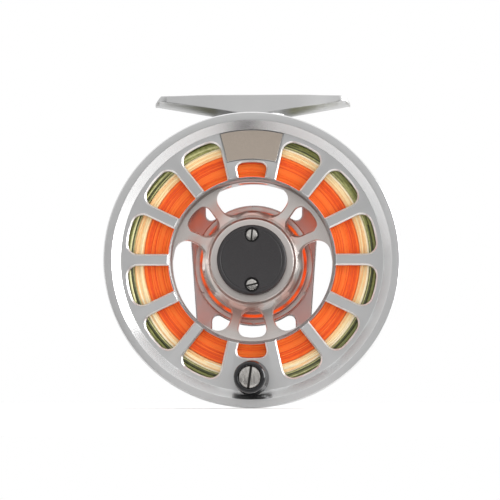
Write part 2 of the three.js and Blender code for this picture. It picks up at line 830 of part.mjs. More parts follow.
function makeClick() {
  const pinBack = coverFront + 0.9;
  const tip = gearRadius + turnGap;
  part('pawl_pin', ring(0, pinRadius, gearFront - 0.5, pinBack, coarse, 0, pawlRadius), steel);
  const outline = rounded([
    [new THREE.Vector2(0, tip), 0.2],
    [new THREE.Vector2(1.6, pawlRadius - 0.6), 0.5],
    [new THREE.Vector2(1.5, pawlRadius + 1.8), 0.8],
    [new THREE.Vector2(-1.5, pawlRadius + 1.8), 0.8],
    [new THREE.Vector2(-1.6, pawlRadius - 0.6), 0.5],
  ]);
  const back = gearFront + gearDepth;
  const pawl = plate(outline, gearFront, back);
  const eye = ring(0, pinRadius + screwGap, gearFront - 1, back + 1, coarse, 0, pawlRadius);
  part('click_pawl', pawl.subtract(eye), brass);

  // A leaf spring on its post, bearing on the pawl's outer end.
  const leafLow = pawlRadius + 2.2;
  const leaf = plate([
    new THREE.Vector2(clickPost.x - 0.4, clickPost.y),
    new THREE.Vector2(clickPost.x, clickPost.y - 0.2),
    new THREE.Vector2(-2.3, leafLow),
    new THREE.Vector2(2, leafLow),
    new THREE.Vector2(2, leafLow + 0.4),
    new THREE.Vector2(-2.5, leafLow + 0.4),
  ], gearFront + 0.1, back - 0.1);
  const post = ring(0, clickPostRadius, gearFront + 0.1, pinBack, coarse, clickPost.x, clickPost.y);
  part('click_spring', leaf.add(post), steel);
}

// ---- Drag --------------------------------------------------------------------

function makeHousing() {
  part('drag_housing', turned([
    [housingInside, housingFront],
    [dragRadius, housingFront],
    [dragRadius, plateBack + seatGap],
    [dragRadius + 1.6, plateBack + 0.2],
    [dragRadius + 1.6, housingBack - 0.6],
    [dragRadius + 1, housingBack],
    [adjusterRadius + 0.3, housingBack],
    [adjusterRadius + 0.3, housingBack - 0.3],
    [adjusterRadius + 1.5, housingBack - 0.3],
    [adjusterRadius + 1.5, housingBack - 1.2],
    [adjusterRadius + 0.3, housingBack - 1.2],
    [adjusterRadius + 0.3, housingBack - 1.6],
    [housingInside, housingBack - 1.6],
  ], medium), satinGrey);
  const lockFront = plateFront - 2.8;
  const lock = ring(dragRadius + seatGap, dragRadius + 1.8, lockFront, plateFront - 0.8 - seatGap, medium);
  part('housing_lock_ring', lock, hubGrey);

  const coverBore = hubRadius + 2 * turnGap;
  const spigot = housingInside - turnGap;
  const cover = turned([
    [coverBore, coverFront + 0.4],
    [coverBore + 1.2, coverFront],
    [dragRadius - 1.2, coverFront + 0.4],
    [dragRadius - 0.2, coverFront + 1.2],
    [dragRadius - 0.2, housingFront - seatGap],
    [spigot, housingFront - seatGap],
    [spigot, stackFront - 2 * seatGap],
    [coverBore, stackFront - 2 * seatGap],
    [coverBore, housingFront + 1.4],
    [coverBore + 1.1, housingFront + 1.4],
    [coverBore + 1.1, housingFront + 0.4],
    [coverBore, housingFront + 0.4],
  ], medium);
  const holes = [[pinRadius, 0, pawlRadius], [clickPostRadius, clickPost.x, clickPost.y]];
  const cutters = holes.map(([radius, x, z]) => {
    return ring(0, radius + screwGap, coverFront - 1, coverFront + 1, coarse, x, z);
  });
  part('drag_cover', cutAll(cover, cutters), hubGrey);
  part('cover_seal', oRing(coverBore + 0.55, 0.4, housingFront + 0.9), rubber);
  part('knob_seal', oRing(adjusterRadius + 0.9, 0.35, housingBack - 0.75), rubber);
}

function oRing(radius, thickness, depth) {
  const geometry = new THREE.TorusGeometry(radius, thickness, 5, medium);
  geometry.rotateX(Math.PI / 2);
  geometry.translate(0, depth, 0);
  return solid(geometry);
}

// Fixed carbon discs between discs that turn with the hub.
function makeDiscs() {
  const fixed = [hubRadius + 0.6, housingInside - 0.3];
  const turning = [hubRadius + turnGap, housingInside - 1.4];
  const names = [
    ['carbon_disc_front', fixed, carbon],
    ['steel_disc_front', turning, steel],
    ['carbon_disc_middle', fixed, carbon],
    ['steel_disc_rear', turning, steel],
    ['carbon_disc_rear', fixed, carbon],
    ['pressure_plate', [adjusterRadius + turnGap, fixed[1]], steel],
  ];
  names.forEach(([name, [inner, outer], finish], i) => {
    const front = stackFront + i * stackStep;
    part(name, ring(inner, outer, front, front + discThickness, medium), finish);
  });
  const washersFront = stackFront + names.length * stackStep;
  ['front', 'rear'].forEach((place, i) => {
    const front = washersFront + i * 0.55;
    const washer = turned([
      [adjusterRadius, front],
      [adjusterRadius + 8, front + 0.05],
      [adjusterRadius + 8, front + 0.45],
      [adjusterRadius, front + 0.45],
    ], medium);
    part(`spring_washer_${place}`, washer, steel);
  });
}

function makeKnob() {
  const flangeStart = housingBack - 1.6 - 0.65;
  const bore = spindleRadius + seatGap;
  const end = knobFront + 4.4;
  const stop = housingBack + 2.1;
  part('drag_adjuster', turned([
    [bore, flangeStart],
    [adjusterRadius + 3, flangeStart],
    [adjusterRadius + 3, flangeStart + 0.55],
    [adjusterRadius, flangeStart + 0.55],
    [adjusterRadius, end],
    [bore - 1, end],
    [bore - 1, stop],
    [bore, stop],
  ], medium), steel);

  const knobBack = knobFront + knobDepth;
  const floor = end + 0.2;
  const recess = floor + 1.2;
  const shankRadius = bore - 1 - screwGap;
  const headRadius = shankRadius + 1.45;
  const blank = turned([
    [adjusterRadius + 0.15, knobFront],
    [knobRadius - 0.5, knobFront],
    [knobRadius, knobFront + 0.5],
    [knobRadius, knobBack - 1],
    [knobRadius - 1, knobBack],
    [headRadius + turnGap, knobBack],
    [headRadius + turnGap, recess],
    [shankRadius + screwGap, recess],
    [shankRadius + screwGap, floor],
    [adjusterRadius + 0.15, floor],
  ], fine);
  const scallops = Array.from({ length: knobScallops }, (_, i) => {
    const centre = polar(knobRadius + 3.2, (2 * Math.PI * (i + 0.5)) / knobScallops);
    return ring(0, 4.6, knobFront - 1, knobBack + 1, medium, centre.x, centre.y);
  });
  const ballRadius = 1;
  const ballAt = 11;
  const pocketEnd = knobFront + 4;
  const pocket = ring(0, ballRadius + screwGap, knobFront - 1, pocketEnd, coarse, ballAt, 0);
  part('drag_knob', cutAll(blank, [...scallops, pocket]), satinGrey);

  const screw = turned([
    [0, floor - 2.4],
    [shankRadius, floor - 2.4],
    [shankRadius, recess + seatGap],
    [headRadius, recess + seatGap],
    [headRadius, recess + 1.9],
    [0, recess + 1.9],
  ], medium);
  part('knob_screw', screw.subtract(slot(0.9, 8, recess + 1.9, 0.8, 0, 0, 0)), steel);

  // A ball pressed by a small coil spring clicks against the housing.
  const ball = new THREE.SphereGeometry(ballRadius, 12, 8);
  const ballDepth = housingBack + 0.1 + ballRadius;
  ball.translate(ballAt, ballDepth, 0);
  part('detent_ball', solid(ball), steel);
  const coilFront = ballDepth + ballRadius + 0.25;
  const turns = 3;
  const coilLength = pocketEnd - coilFront - 0.3;
  const coil = Array.from({ length: 8 * turns + 1 }, (_, i) => {
    const angle = (2 * Math.PI * i) / 8;
    const depth = coilFront + (coilLength * i) / (8 * turns);
    return new THREE.Vector3(ballAt + 0.75 * Math.cos(angle), depth, 0.75 * Math.sin(angle));
  });
  part('detent_spring', wire(coil, 0.13, 24, 5), steel);
}

makeSpool();
makeCounterweight();
makeCap();
makeHandle();
makeWindings();
makeCage();
makeFoot();
makeSpindle();
makeHub();
makeClick();
makeHousing();
makeDiscs();
makeKnob();

export default model;
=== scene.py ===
"""A 95 mm fly reel standing on its rim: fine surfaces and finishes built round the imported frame.

Sizes are millimetres. Each piece is built round the reel's axis, with its depth counted back from
the front face of the palming rim, and place() moves it to where the frame has it.
"""

import json
import math
import random
from functools import partial

import bmesh
import bpy
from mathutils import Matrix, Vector


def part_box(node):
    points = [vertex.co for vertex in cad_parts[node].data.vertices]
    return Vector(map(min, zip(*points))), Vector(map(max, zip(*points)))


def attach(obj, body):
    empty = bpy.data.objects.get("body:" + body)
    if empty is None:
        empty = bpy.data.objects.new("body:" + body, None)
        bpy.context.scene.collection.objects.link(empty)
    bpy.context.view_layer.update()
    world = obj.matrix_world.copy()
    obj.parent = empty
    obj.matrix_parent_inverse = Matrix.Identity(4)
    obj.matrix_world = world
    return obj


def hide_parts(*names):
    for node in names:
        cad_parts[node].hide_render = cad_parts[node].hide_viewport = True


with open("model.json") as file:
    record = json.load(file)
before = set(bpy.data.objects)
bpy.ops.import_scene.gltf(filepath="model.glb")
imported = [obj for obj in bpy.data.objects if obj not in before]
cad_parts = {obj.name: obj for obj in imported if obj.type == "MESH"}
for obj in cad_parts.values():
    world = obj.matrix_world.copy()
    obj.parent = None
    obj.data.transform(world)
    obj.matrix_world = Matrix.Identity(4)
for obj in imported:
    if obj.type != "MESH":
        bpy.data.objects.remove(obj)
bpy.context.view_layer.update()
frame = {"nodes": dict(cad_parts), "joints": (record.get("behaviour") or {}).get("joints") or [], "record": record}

MM = 0.001
TAU = 2 * math.pi
ROUND = 224  # segments round a big turned piece: 14 windows of 16
FINE = 96
SMALL = 48

# ---- Sizes from the frame ---------------------------------------------------

joints = {joint["name"]: joint for joint in frame["joints"]}
AXIS_Z = joints["spool_spin"]["pos_m"][2]
RIM_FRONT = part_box("spool")[0].y
HANDLE_RADIUS = (AXIS_Z - joints["handle_spin"]["pos_m"][2]) / MM


def depth(y):
    """Depth behind the rim's front face, in millimetres."""
    return (y - RIM_FRONT) / MM


def span(node):
    """The depths where a node starts and ends."""
    low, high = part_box(node)
    return depth(low.y), depth(high.y)


def radius_of(node):
    low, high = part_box(node)
    return (high.x - low.x) / 2 / MM


RIM = radius_of("spool")
FLANGE_BACK = span("spool")[1]
LINE = radius_of("head_winding")
LINE_FRONT, LINE_BACK = span("head_winding")
RUNNING = radius_of("running_line_winding")
BACKING = radius_of("backing_winding")
CAP = radius_of("spool_cap")
CAP_FRONT, CAP_BACK = span("spool_cap")
CAGE = radius_of("frame")
CAGE_FRONT, PLATE_BACK = span("frame")
HOUSING = radius_of("drag_housing")
KNOB = radius_of("drag_knob")
KNOB_FRONT, KNOB_BACK = span("drag_knob")

# ---- Sizes of the details ----------------------------------------------------

FACE_DEPTH = 3.0
FLANGE_INSIDE = 5.2
RIM_DEPTH = 6.4
BEVEL_TOP = RIM - 2.7
FACE_RADIUS = RIM - 5.3
ARBOR = 27.2
ARBOR_INSIDE = 26.2
ARBOR_STEP = 0.9  # the arbor is wider behind the web
PORT_HALF = 5.0
WEB_FRONT = 10.2
WEB_BACK = 12.8
CONE_RADIUS = 16.2
HUB_RING = 13.5
HUB_BORE = 9.0
HUB_FRONT = 8.0
HUB_THICK = 2.0
HUB_HOLE = 4.6
BOSS = 13.0
BOSS_BACK = 18.4
BACK_FLANGE_INSIDE = FLANGE_BACK - 1.8
BACK_FLANGE = RIM - 6.5
WINDOWS = 14
PITCH = TAU / WINDOWS
RIB = 3.7
WINDOW_OUTER = 40.4
WINDOW_CORNER = 3.3
SMALL_WINDOW_OUTER = 31.6
WEIGHT_POCKET = 32.3  # inner edge of the counterweight's pocket
WEIGHT_REACH = math.radians(14.4)
WEIGHT_THICK = 1.4
WINDOW_INNER = 26.75
FAR_WINDOW_INNER = 27.3  # in the flange at the back
SPOKE = 3.2
PAIR_SPREAD = math.radians(16)
TOP = math.pi / 2
BOTTOM = -math.pi / 2
PLATE_FRONT = PLATE_BACK - 3.2
CAGE_INSIDE = BACK_FLANGE + 1.4
CAGE_WALL = CAGE_INSIDE + 4.2
BRIDGE = math.radians(16)
PILLAR = math.radians(6)
PILLARS = [math.radians(angle) for angle in (30, 150, 215, 325)]
CAP_SCREW = 8.05
SHANK = 1.1  # cap and handle screws
STUD = 1.65  # hole for the handle's post
FOOT_DEPTH = depth(0.0)
FOOT_SCREW = 6.0
PAD = CAGE - 1.8
FOOT_HALF = (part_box("reel_foot")[1].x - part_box("reel_foot")[0].x) / 2 / MM
AXIS_DROP = -AXIS_Z / MM
PEDESTAL_LONG = 11.4
PEDESTAL_WIDE = 6.8
HOUSING_BORE = HOUSING - 1.3
HANDLE_BASE = FACE_DEPTH - 1
DRAG_RING = HOUSING + 0.7
PLATE_HOLE_OUTER = CAGE_INSIDE - 3.9

# ---- Mesh helpers ------------------------------------------------------------


def make(name, vertices, faces):
    mesh = bpy.data.meshes.new(name)
    mesh.from_pydata([tuple(v) for v in vertices], [], faces)
    mesh.validate()
    piece = bpy.data.objects.new(name, mesh)
    bpy.context.scene.collection.objects.link(piece)
    return piece


def place(piece, x=0.0, z=0.0):
    """Millimetres round the reel's axis become metres in the row frame."""
    for vertex in piece.data.vertices:
        local = vertex.co
        vertex.co = (
            (local.x + x) * MM,
            local.y * MM + RIM_FRONT,
            (local.z + z) * MM + AXIS_Z,
        )
    return piece


def smooth(piece, angle=32):
    """Smooth shading that keeps edges sharper than the angle."""
    bm = bmesh.new()
    bm.from_mesh(piece.data)
    bmesh.ops.remove_doubles(bm, verts=bm.verts, dist=1e-5)
    bmesh.ops.dissolve_degenerate(bm, edges=bm.edges, dist=1e-6)
    bmesh.ops.recalc_face_normals(bm, faces=bm.faces)
    limit = math.radians(angle)
    for face in bm.faces:
        face.smooth = True
    for edge in bm.edges:
        if len(edge.link_faces) == 2:
            edge.smooth = edge.calc_face_angle(0.0) < limit
    bm.to_mesh(piece.data)
    bm.free()
    return piece


def finish_piece(piece, body, *nodes, slot, angle=32):
    """Places and shades the piece, ties it to its body, hides the CAD nodes it stands for,
    and gives it its slot's finish if it has none."""
    if not any(piece.data.materials):
        coat(piece, SLOT_MATERIALS[slot])
    place(piece)
    smooth(piece, angle)
    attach(piece, body)
    if nodes:
        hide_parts(*nodes)


def softened(outline, radius=0.15, steps=3):
    """A closed outline with each corner turned into a small arc."""
    points = []
    count = len(outline)
    for i in range(count):
        corner = Vector(outline[i])
        before = Vector(outline[i - 1]) - corner
        after = Vector(outline[(i + 1) % count]) - corner
        half = before.angle(after) / 2
        if half > math.radians(86):
            points.append(tuple(corner))
            continue
        reach = min(radius / math.tan(half), 0.45 * before.length, 0.45 * after.length)
        start = corner + before.normalized() * reach
        end = corner + after.normalized() * reach
        for step in range(steps + 1):
            t = step / steps
            point = start * (1 - t) ** 2 + corner * 2 * t * (1 - t) + end * t**2
            points.append(tuple(point))
    return points


def turned(name, outline, segments=ROUND, soft=0.12, x=0.0, z=0.0):
    """A solid of revolution round the Y axis. The outline is a closed loop of (radius, depth)
    corners; where it runs along the axis, its ends share one point there."""
    if soft:
        ends = [p for p in outline if p[0] < 1e-6]
        inner = softened([p for p in outline if p[0] >= 1e-6], soft)
        outline = [ends[0], *inner, ends[1]] if ends else inner
    vertices = []
    rows = []
    for r, s in outline:
        if r < 1e-6:
            rows.append([len(vertices)] * segments)
            vertices.append((0.0, s, 0.0))
            continue
        row = []
        for i in range(segments):
            angle = TAU * i / segments
            row.append(len(vertices))
            vertices.append((r * math.cos(angle), s, r * math.sin(angle)))
        rows.append(row)
    faces = []
    for a, b in zip(rows, rows[1:] + rows[:1]):
        for i in range(segments):
            j = (i + 1) % segments
            face = []
            for index in (a[i], a[j], b[j], b[i]):
                if index not in face:
                    face.append(index)
            if len(face) > 2:
                faces.append(face)
    piece = make(name, vertices, faces)
    for vertex in piece.data.vertices:
        vertex.co.x += x
        vertex.co.z += z
    orient(piece)
    return piece


def orient(piece):
    bm = bmesh.new()
    bm.from_mesh(piece.data)
    bmesh.ops.recalc_face_normals(bm, faces=bm.faces)
    if bm.calc_volume(signed=True) < 0:
        bmesh.ops.reverse_faces(bm, faces=bm.faces)
    bm.to_mesh(piece.data)
    bm.free()


def lofted(name, rings):
    """A closed solid through rings of the same number of points, with flat ends."""
    count = len(rings[0])
    vertices = [point for ring in rings for point in ring]
    faces = [list(range(count)), [len(vertices) - 1 - i for i in range(count)]]
    for k in range(len(rings) - 1):
        for i in range(count):
            j = (i + 1) % count
            a, b = k * count, (k + 1) * count
            faces.append([a + i, a + j, b + j, b + i])
    piece = make(name, vertices, faces)
    orient(piece)
    return piece


def stacked(name, levels):
    """A closed solid through (depth, outline in X and Z) levels."""
    return lofted(name, [[(x, s, z) for x, z in loop] for s, loop in levels])


def slab(name, outline, front, back, chamfer=0.0):
    """A flat outline in X and Z, chamfered round both faces if asked."""
    if not chamfer:
        return stacked(name, [(front, outline), (back, outline)])
    inset = shrunk(outline, chamfer)
    middle = [(front + chamfer, outline), (back - chamfer, outline)]
    return stacked(name, [(front, inset), *middle, (back, inset)])


def shrunk(outline, distance):
    """The outline moved inwards everywhere by the distance."""
    area = sum(a[0] * b[1] - b[0] * a[1] for a, b in zip(outline, outline[1:] + outline[:1]))
    side = 1 if area > 0 else -1
    moved = []
    for i, point in enumerate(outline):
        here = Vector(point)
        before = (here - Vector(outline[i - 1])).normalized()
        after = (Vector(outline[(i + 1) % len(outline)]) - here).normalized()
        normal = Vector((-(before.y + after.y), before.x + after.x)) * side
        normal.normalize()
        lean = max(0.3, normal.dot(Vector((-after.y, after.x)) * side))
        moved.append(tuple(here + normal * distance / lean))
    return moved


def polar(radius, angle):
    return (radius * math.cos(angle), radius * math.sin(angle))


def arc_points(radius, start, end, steps):
    return [polar(radius, start + (end - start) * i / steps) for i in range(steps + 1)]


def rounded(corners, steps=6):
    """Rounds a polygon of (point, radius) corners."""
    points = []
    count = len(corners)
    for i, (point, radius) in enumerate(corners):
        corner = Vector(point)
        if not radius:
            points.append(tuple(corner))
            continue
        before = (Vector(corners[i - 1][0]) - corner).normalized()
        after = (Vector(corners[(i + 1) % count][0]) - corner).normalized()
        half = before.angle(after) / 2
        centre = corner + (before + after).normalized() * radius / math.sin(half)
        start = corner + before * radius / math.tan(half) - centre
        end = corner + after * radius / math.tan(half) - centre
        first = math.atan2(start.y, start.x)
        turn = math.atan2(end.y, end.x) - first
        turn = (turn + math.pi) % TAU - math.pi
        for step in range(steps + 1):
            x, z = polar(radius, first + turn * step / steps)
            points.append((centre.x + x, centre.y + z))
    return points


def between_spokes(middle, half_angle, inner, outer, spoke, inner_corner, outer_corner, steps=6):
    """The opening between two parallel-sided spokes, half_angle either side of the middle."""

    def edge(radius, side):
        along = math.sqrt(radius**2 - (spoke / 2) ** 2)
        out = along * math.cos(half_angle) + spoke / 2 * math.sin(half_angle)
        across = along * math.sin(half_angle) - spoke / 2 * math.cos(half_angle)
        return (out, side * across)

    def arc(radius, sign):
        x, z = edge(radius, 1)
        reach = math.atan2(z, x)
        keep = reach - (1.6 * max(outer_corner, 0.4) / radius)
        shares = [2 * (i + 1) / (steps + 1) - 1 for i in range(steps)]
        return [(polar(radius, sign * share * keep), 0) for share in shares]

    corners = [(edge(inner, -1), inner_corner), (edge(outer, -1), outer_corner)]
    corners += arc(outer, 1)
    corners += [(edge(outer, 1), outer_corner), (edge(inner, 1), inner_corner)]
    corners += arc(inner, -1)
    turn = [math.cos(middle), math.sin(middle)]
    return [(x * turn[0] - z * turn[1], x * turn[1] + z * turn[0]) for x, z in rounded(corners)]


def joined(name, pieces):
    """One mesh out of several that don't touch."""
    vertices = []
    faces = []
    for piece in pieces:
        start = len(vertices)
        vertices += [tuple(v.co) for v in piece.data.vertices]
        faces += [[start + i for i in polygon.vertices] for polygon in piece.data.polygons]
        bpy.data.objects.remove(piece, do_unlink=True)
    return make(name, vertices, faces)


def carved(piece, cutters, operation="DIFFERENCE"):
    """The piece with the cutters taken out of it. The cutters are used up."""
    cutter = joined("cutter", cutters)
    modifier = piece.modifiers.new("cut", "BOOLEAN")
    modifier.operation = operation
    modifier.solver = "MANIFOLD"
    modifier.object = cutter
    graph = bpy.context.evaluated_depsgraph_get()
    result = bpy.data.meshes.new_from_object(piece.evaluated_get(graph))
    piece.modifiers.clear()
    piece.data = result
    bpy.data.objects.remove(cutter, do_unlink=True)
    return piece


def hole(radius, front, back, x=0.0, z=0.0, flare=0.0, segments=SMALL):
    """A round cutter, opened out at its front by a small flare."""
    if flare:
        outline = [
            (0, front - 0.5),
            (radius + flare + 0.5, front - 0.5),
            (radius, front + flare),
            (radius, back),
            (0, back),
        ]
    else:
        outline = [(0, front), (radius, front), (radius, back), (0, back)]
    return turned("hole", outline, segments, 0, x, z)


def block(front, back, left, right, low, high):
    """A square-edged cutter."""
    return slab("block", [(left, low), (right, low), (right, high), (left, high)], front, back)


def bar(width, front, back, length, x, z, angle):
    """A straight slot cutter, turned by the angle from upright."""
    c, s = math.cos(angle), math.sin(angle)
    outline = []
    for across, along in ((-1, -1), (1, -1), (1, 1), (-1, 1)):
        u, v = across * width / 2, along * length / 2
        outline.append((x + u * c + v * s, z - u * s + v * c))
    return slab("slot", outline, front, back)


# ---- Materials ---------------------------------------------------------------


def grey(value):
    return (value, value, value)


def shader(name, **inputs):
    """A material, its node tree and its principled shader."""
    material = bpy.data.materials.new(name)
    material.use_nodes = True
    tree = material.node_tree
    principled = tree.nodes["Principled BSDF"]
    for key, value in inputs.items():
        principled.inputs[key.replace("_", " ").title().replace("Ior", "IOR")].default_value = value
    return material, tree, principled


def node(tree, kind, **settings):
    made = tree.nodes.new(kind)
    for key, value in settings.items():
        if key in made.inputs:
            made.inputs[key].default_value = value
        else:
            setattr(made, key, value)
    return made


def ramp(tree, source, stops):
    made = tree.nodes.new("ShaderNodeValToRGB")
    elements = made.color_ramp.elements
    for i, (position, colour) in enumerate(stops):
        element = elements[i] if i < len(elements) else elements.new(position)
        element.position = position
        element.color = (*colour, 1)
    tree.links.new(source, made.inputs["Fac"])
    return made.outputs["Color"]


def mapped(tree, source, low, high):
    made = node(tree, "ShaderNodeMapRange")
    made.inputs["To Min"].default_value = low
    made.inputs["To Max"].default_value = high
    tree.links.new(source, made.inputs["Value"])
    return made.outputs["Result"]


def maths(tree, operation, *sources):
    """A math node's result. Each source is a number or another node's output."""
    made = node(tree, "ShaderNodeMath", operation=operation)
    for socket, source in zip(made.inputs, sources):
        if isinstance(source, (int, float)):
            socket.default_value = source
        else:
            tree.links.new(source, socket)
    return made.outputs[0]


def object_place(tree):
    return tree.nodes.new("ShaderNodeTexCoord").outputs["Object"]


def noise(tree, scale, detail=3.0, vector=None):
    made = node(tree, "ShaderNodeTexNoise")
    made.inputs["Scale"].default_value = scale
    made.inputs["Detail"].default_value = detail
    tree.links.new(vector or object_place(tree), made.inputs["Vector"])
    return made.outputs["Fac"]


def feed(tree, principled, colour, pattern, low, high):
    """Gives the shader its colour, and a roughness between low and high that follows a pattern."""
    tree.links.new(colour, principled.inputs["Base Color"])
    tree.links.new(mapped(tree, pattern, low, high), principled.inputs["Roughness"])


def bumped(tree, principled, height, strength, distance):
    made = node(tree, "ShaderNodeBump")
    made.inputs["Strength"].default_value = strength
    made.inputs["Distance"].default_value = distance
    tree.links.new(height, made.inputs["Height"])
    tree.links.new(made.outputs["Normal"], principled.inputs["Normal"])


def axis_distance(tree):
    """Distance from the reel's axis, in metres."""
    split = tree.nodes.new("ShaderNodeSeparateXYZ")
    tree.links.new(object_place(tree), split.inputs["Vector"])
    raised = maths(tree, "SUBTRACT", split.outputs["Z"], AXIS_Z)
    squares = [maths(tree, "POWER", side, 2) for side in (split.outputs["X"], raised)]
    return maths(tree, "SQRT", maths(tree, "ADD", *squares))


def blasted(name, light, dark, roughness, grain=0.00001):
    """Bead-blasted anodised aluminium: a fine grain with faint handling marks."""
    material, tree, principled = shader(name, metallic=1.0)
    colour = ramp(tree, noise(tree, 55, 4), [(0.3, dark), (0.7, light)])
    fine = noise(tree, 5200, 2)
    feed(tree, principled, colour, fine, roughness - 0.05, roughness + 0.05)
    bumped(tree, principled, fine, 0.35, grain)
    return material


def turned_finish(name, light, dark, roughness, painted_reflection, pitch=0.00012, strength=0.15):
    """Lathe-turned metal: faint rings round the reel's axis, and patches of painted orange reflection in a band
    round the hub.
    """
    material, tree, principled = shader(name, metallic=1.0)
    radius = axis_distance(tree)
    rings = node(tree, "ShaderNodeTexNoise", noise_dimensions="1D")
    rings.inputs["Scale"].default_value = 1.0
    tree.links.new(maths(tree, "MULTIPLY", radius, 1 / pitch), rings.inputs["W"])
    colour = ramp(tree, rings.outputs["Fac"], [(0.35, dark), (0.65, light)])
    # Painted reflection: patches of the orange backing's colour, in a band 13 to 24 mm from the axis.
    clear, full = grey(0.0), grey(0.75)
    share = maths(tree, "MULTIPLY", radius, 1 / 0.03)
    reflection_band = ramp(tree, share, [(0.44, clear), (0.5, full), (0.66, full), (0.8, clear)])
    reflection_patches = ramp(tree, noise(tree, 110, 2), [(0.42, clear), (0.62, full)])
    reflection_mix = node(tree, "ShaderNodeMix", data_type="RGBA")
    tree.links.new(maths(tree, "MULTIPLY", reflection_band, reflection_patches), reflection_mix.inputs[0])
    tree.links.new(colour, reflection_mix.inputs[6])
    reflection_mix.inputs[7].default_value = (*painted_reflection, 1)
    feed(tree, principled, reflection_mix.outputs[2], rings.outputs["Fac"], roughness - 0.04, roughness + 0.06)
    bumped(tree, principled, rings.outputs["Fac"], strength, 0.000008)
    return material


def grained(name, light, dark, metallic, roughness, scale, strength, distance):
    """A plain finish with a fine mottled grain."""
    material, tree, principled = shader(name, metallic=metallic)
    grain = noise(tree, scale, 4)
    colour = ramp(tree, grain, [(0.3, dark), (0.7, light)])
    feed(tree, principled, colour, grain, max(0.02, roughness - 0.05), roughness + 0.05)
    bumped(tree, principled, grain, strength, distance)
    return material


def brushed(name, light, dark, roughness, stretch=(4000, 400, 400)):
    """Steel with fine straight brush lines."""
    material, tree, principled = shader(name, metallic=1.0)
    stretched = node(tree, "ShaderNodeVectorMath", operation="MULTIPLY")
    stretched.inputs[1].default_value = stretch
    tree.links.new(object_place(tree), stretched.inputs[0])
    lines = noise(tree, 1.0, 3, stretched.outputs[0])
    colour = ramp(tree, lines, [(0.3, dark), (0.7, light)])
    feed(tree, principled, colour, lines, roughness - 0.08, roughness + 0.1)
    bumped(tree, principled, lines, 0.2, 0.000008)
    return material


def strand_finish(name, dark, middle, light, roughness, fibre=0.0, coat=0.0):
    """Wound line: each strand has its own tone, with fine variation along it."""
    material, tree, principled = shader(name, coat_weight=coat, coat_roughness=0.12)
    tone = tree.nodes.new("ShaderNodeAttribute")
    tone.attribute_name = "tone"
    mottle = noise(tree, 900, 4)
    blend = node(tree, "ShaderNodeMix", data_type="FLOAT")
    blend.inputs["Factor"].default_value = 0.3
    tree.links.new(tone.outputs["Fac"], blend.inputs["A"])
    tree.links.new(mottle, blend.inputs["B"])
    colour = ramp(tree, blend.outputs["Result"], [(0.2, dark), (0.5, middle), (0.85, light)])
    feed(tree, principled, colour, mottle, roughness - 0.08, roughness + 0.08)
    if fibre:
        bumped(tree, principled, noise(tree, 6000, 2), fibre, 0.00003)
    return material


GREY = blasted("anodised_grey", grey(0.58), grey(0.54), 0.42)
POLISHED = grained("polished_bevel", grey(0.74), grey(0.68), 1.0, 0.2, 2500, 0.08, 0.000004)
CUT_EDGE = grained("cut_edge", (0.93, 0.93, 0.92), (0.88, 0.88, 0.87), 1.0, 0.3, 2500, 0.08, 0.000004)
# The hub's finish carries a painted orange reflection in patches round the hub.
HUB = turned_finish("hub_grey", (0.62, 0.575, 0.55), (0.54, 0.50, 0.475), 0.3, (0.62, 0.27, 0.20))
WEIGHT = grained(
    "counterweight_grey", (0.50, 0.43, 0.37), (0.44, 0.38, 0.32), 1.0, 0.5, 3500, 0.2, 0.00001
)
CHARCOAL = grained(
    "cap_charcoal", (0.028, 0.025, 0.027), (0.020, 0.018, 0.019), 0.0, 0.45, 3000, 0.15, 0.00001
)
BLACK = grained(
    "handle_black", (0.008, 0.008, 0.009), (0.004, 0.004, 0.005), 0.0, 0.12, 600, 0.05, 0.00001
)
STEEL = brushed("steel", (0.60, 0.58, 0.55), (0.36, 0.345, 0.33), 0.26)
# Painted shade for the walls and floor inside screw slots.
SLOT_SHADE = brushed("slot_painted_shade", (0.09, 0.085, 0.08), (0.04, 0.038, 0.036), 0.5)
CARBON = grained(
    "carbon_fibre", (0.03, 0.03, 0.033), (0.012, 0.012, 0.014), 0.0, 0.5, 2200, 0.3, 0.00002
)
BRASS = grained("click_brass", (0.55, 0.36, 0.11), (0.42, 0.26, 0.07), 1.0, 0.28, 1800, 0.15, 0.00001)
RUBBER = grained("seal_rubber", grey(0.012), grey(0.006), 0.0, 0.7, 2500, 0.3, 0.00002)
ACETAL = grained("bush_acetal", (0.82, 0.79, 0.72), (0.74, 0.70, 0.62), 0.0, 0.45, 1500, 0.15, 0.00001)
ORANGE = strand_finish(
    "orange_backing", (0.80, 0.075, 0.003), (1.0, 0.145, 0.005), (1.0, 0.20, 0.02), 0.6, 0.5
)
PEACH = strand_finish(
    "peach_line", (0.93, 0.50, 0.20), (1.0, 0.77, 0.42), (1.0, 0.93, 0.72), 0.42, 0.2, 0.2
)
OLIVE = strand_finish(
    "olive_line", (0.045, 0.05, 0.008), (0.23, 0.24, 0.06), (0.85, 0.82, 0.42), 0.35, 0.15, 0.3
)
# Painted light: an orange glow that stands in for light bounced off the backing onto the web and hub.
ORANGE_GLOW, _, glow = shader("orange_glow", roughness=0.6, emission_strength=1.2)
glow.inputs["Base Color"].default_value = (1.0, 0.13, 0.006, 1)
glow.inputs["Emission Color"].default_value = (1.0, 0.13, 0.006, 1)
SLOT_MATERIALS = {
    "anodised_grey": GREY, "hub_grey": HUB, "counterweight_grey": WEIGHT, "cap_charcoal": CHARCOAL,
    "handle_black": BLACK, "steel": STEEL, "carbon_fibre": CARBON, "click_brass": BRASS,
    "seal_rubber": RUBBER, "bush_acetal": ACETAL, "orange_backing": ORANGE, "peach_line": PEACH,
    "olive_line": OLIVE,
}


def coat(piece, *materials):
    piece.data.materials.clear()
    for material in materials:
        piece.data.materials.append(material)
    return piece


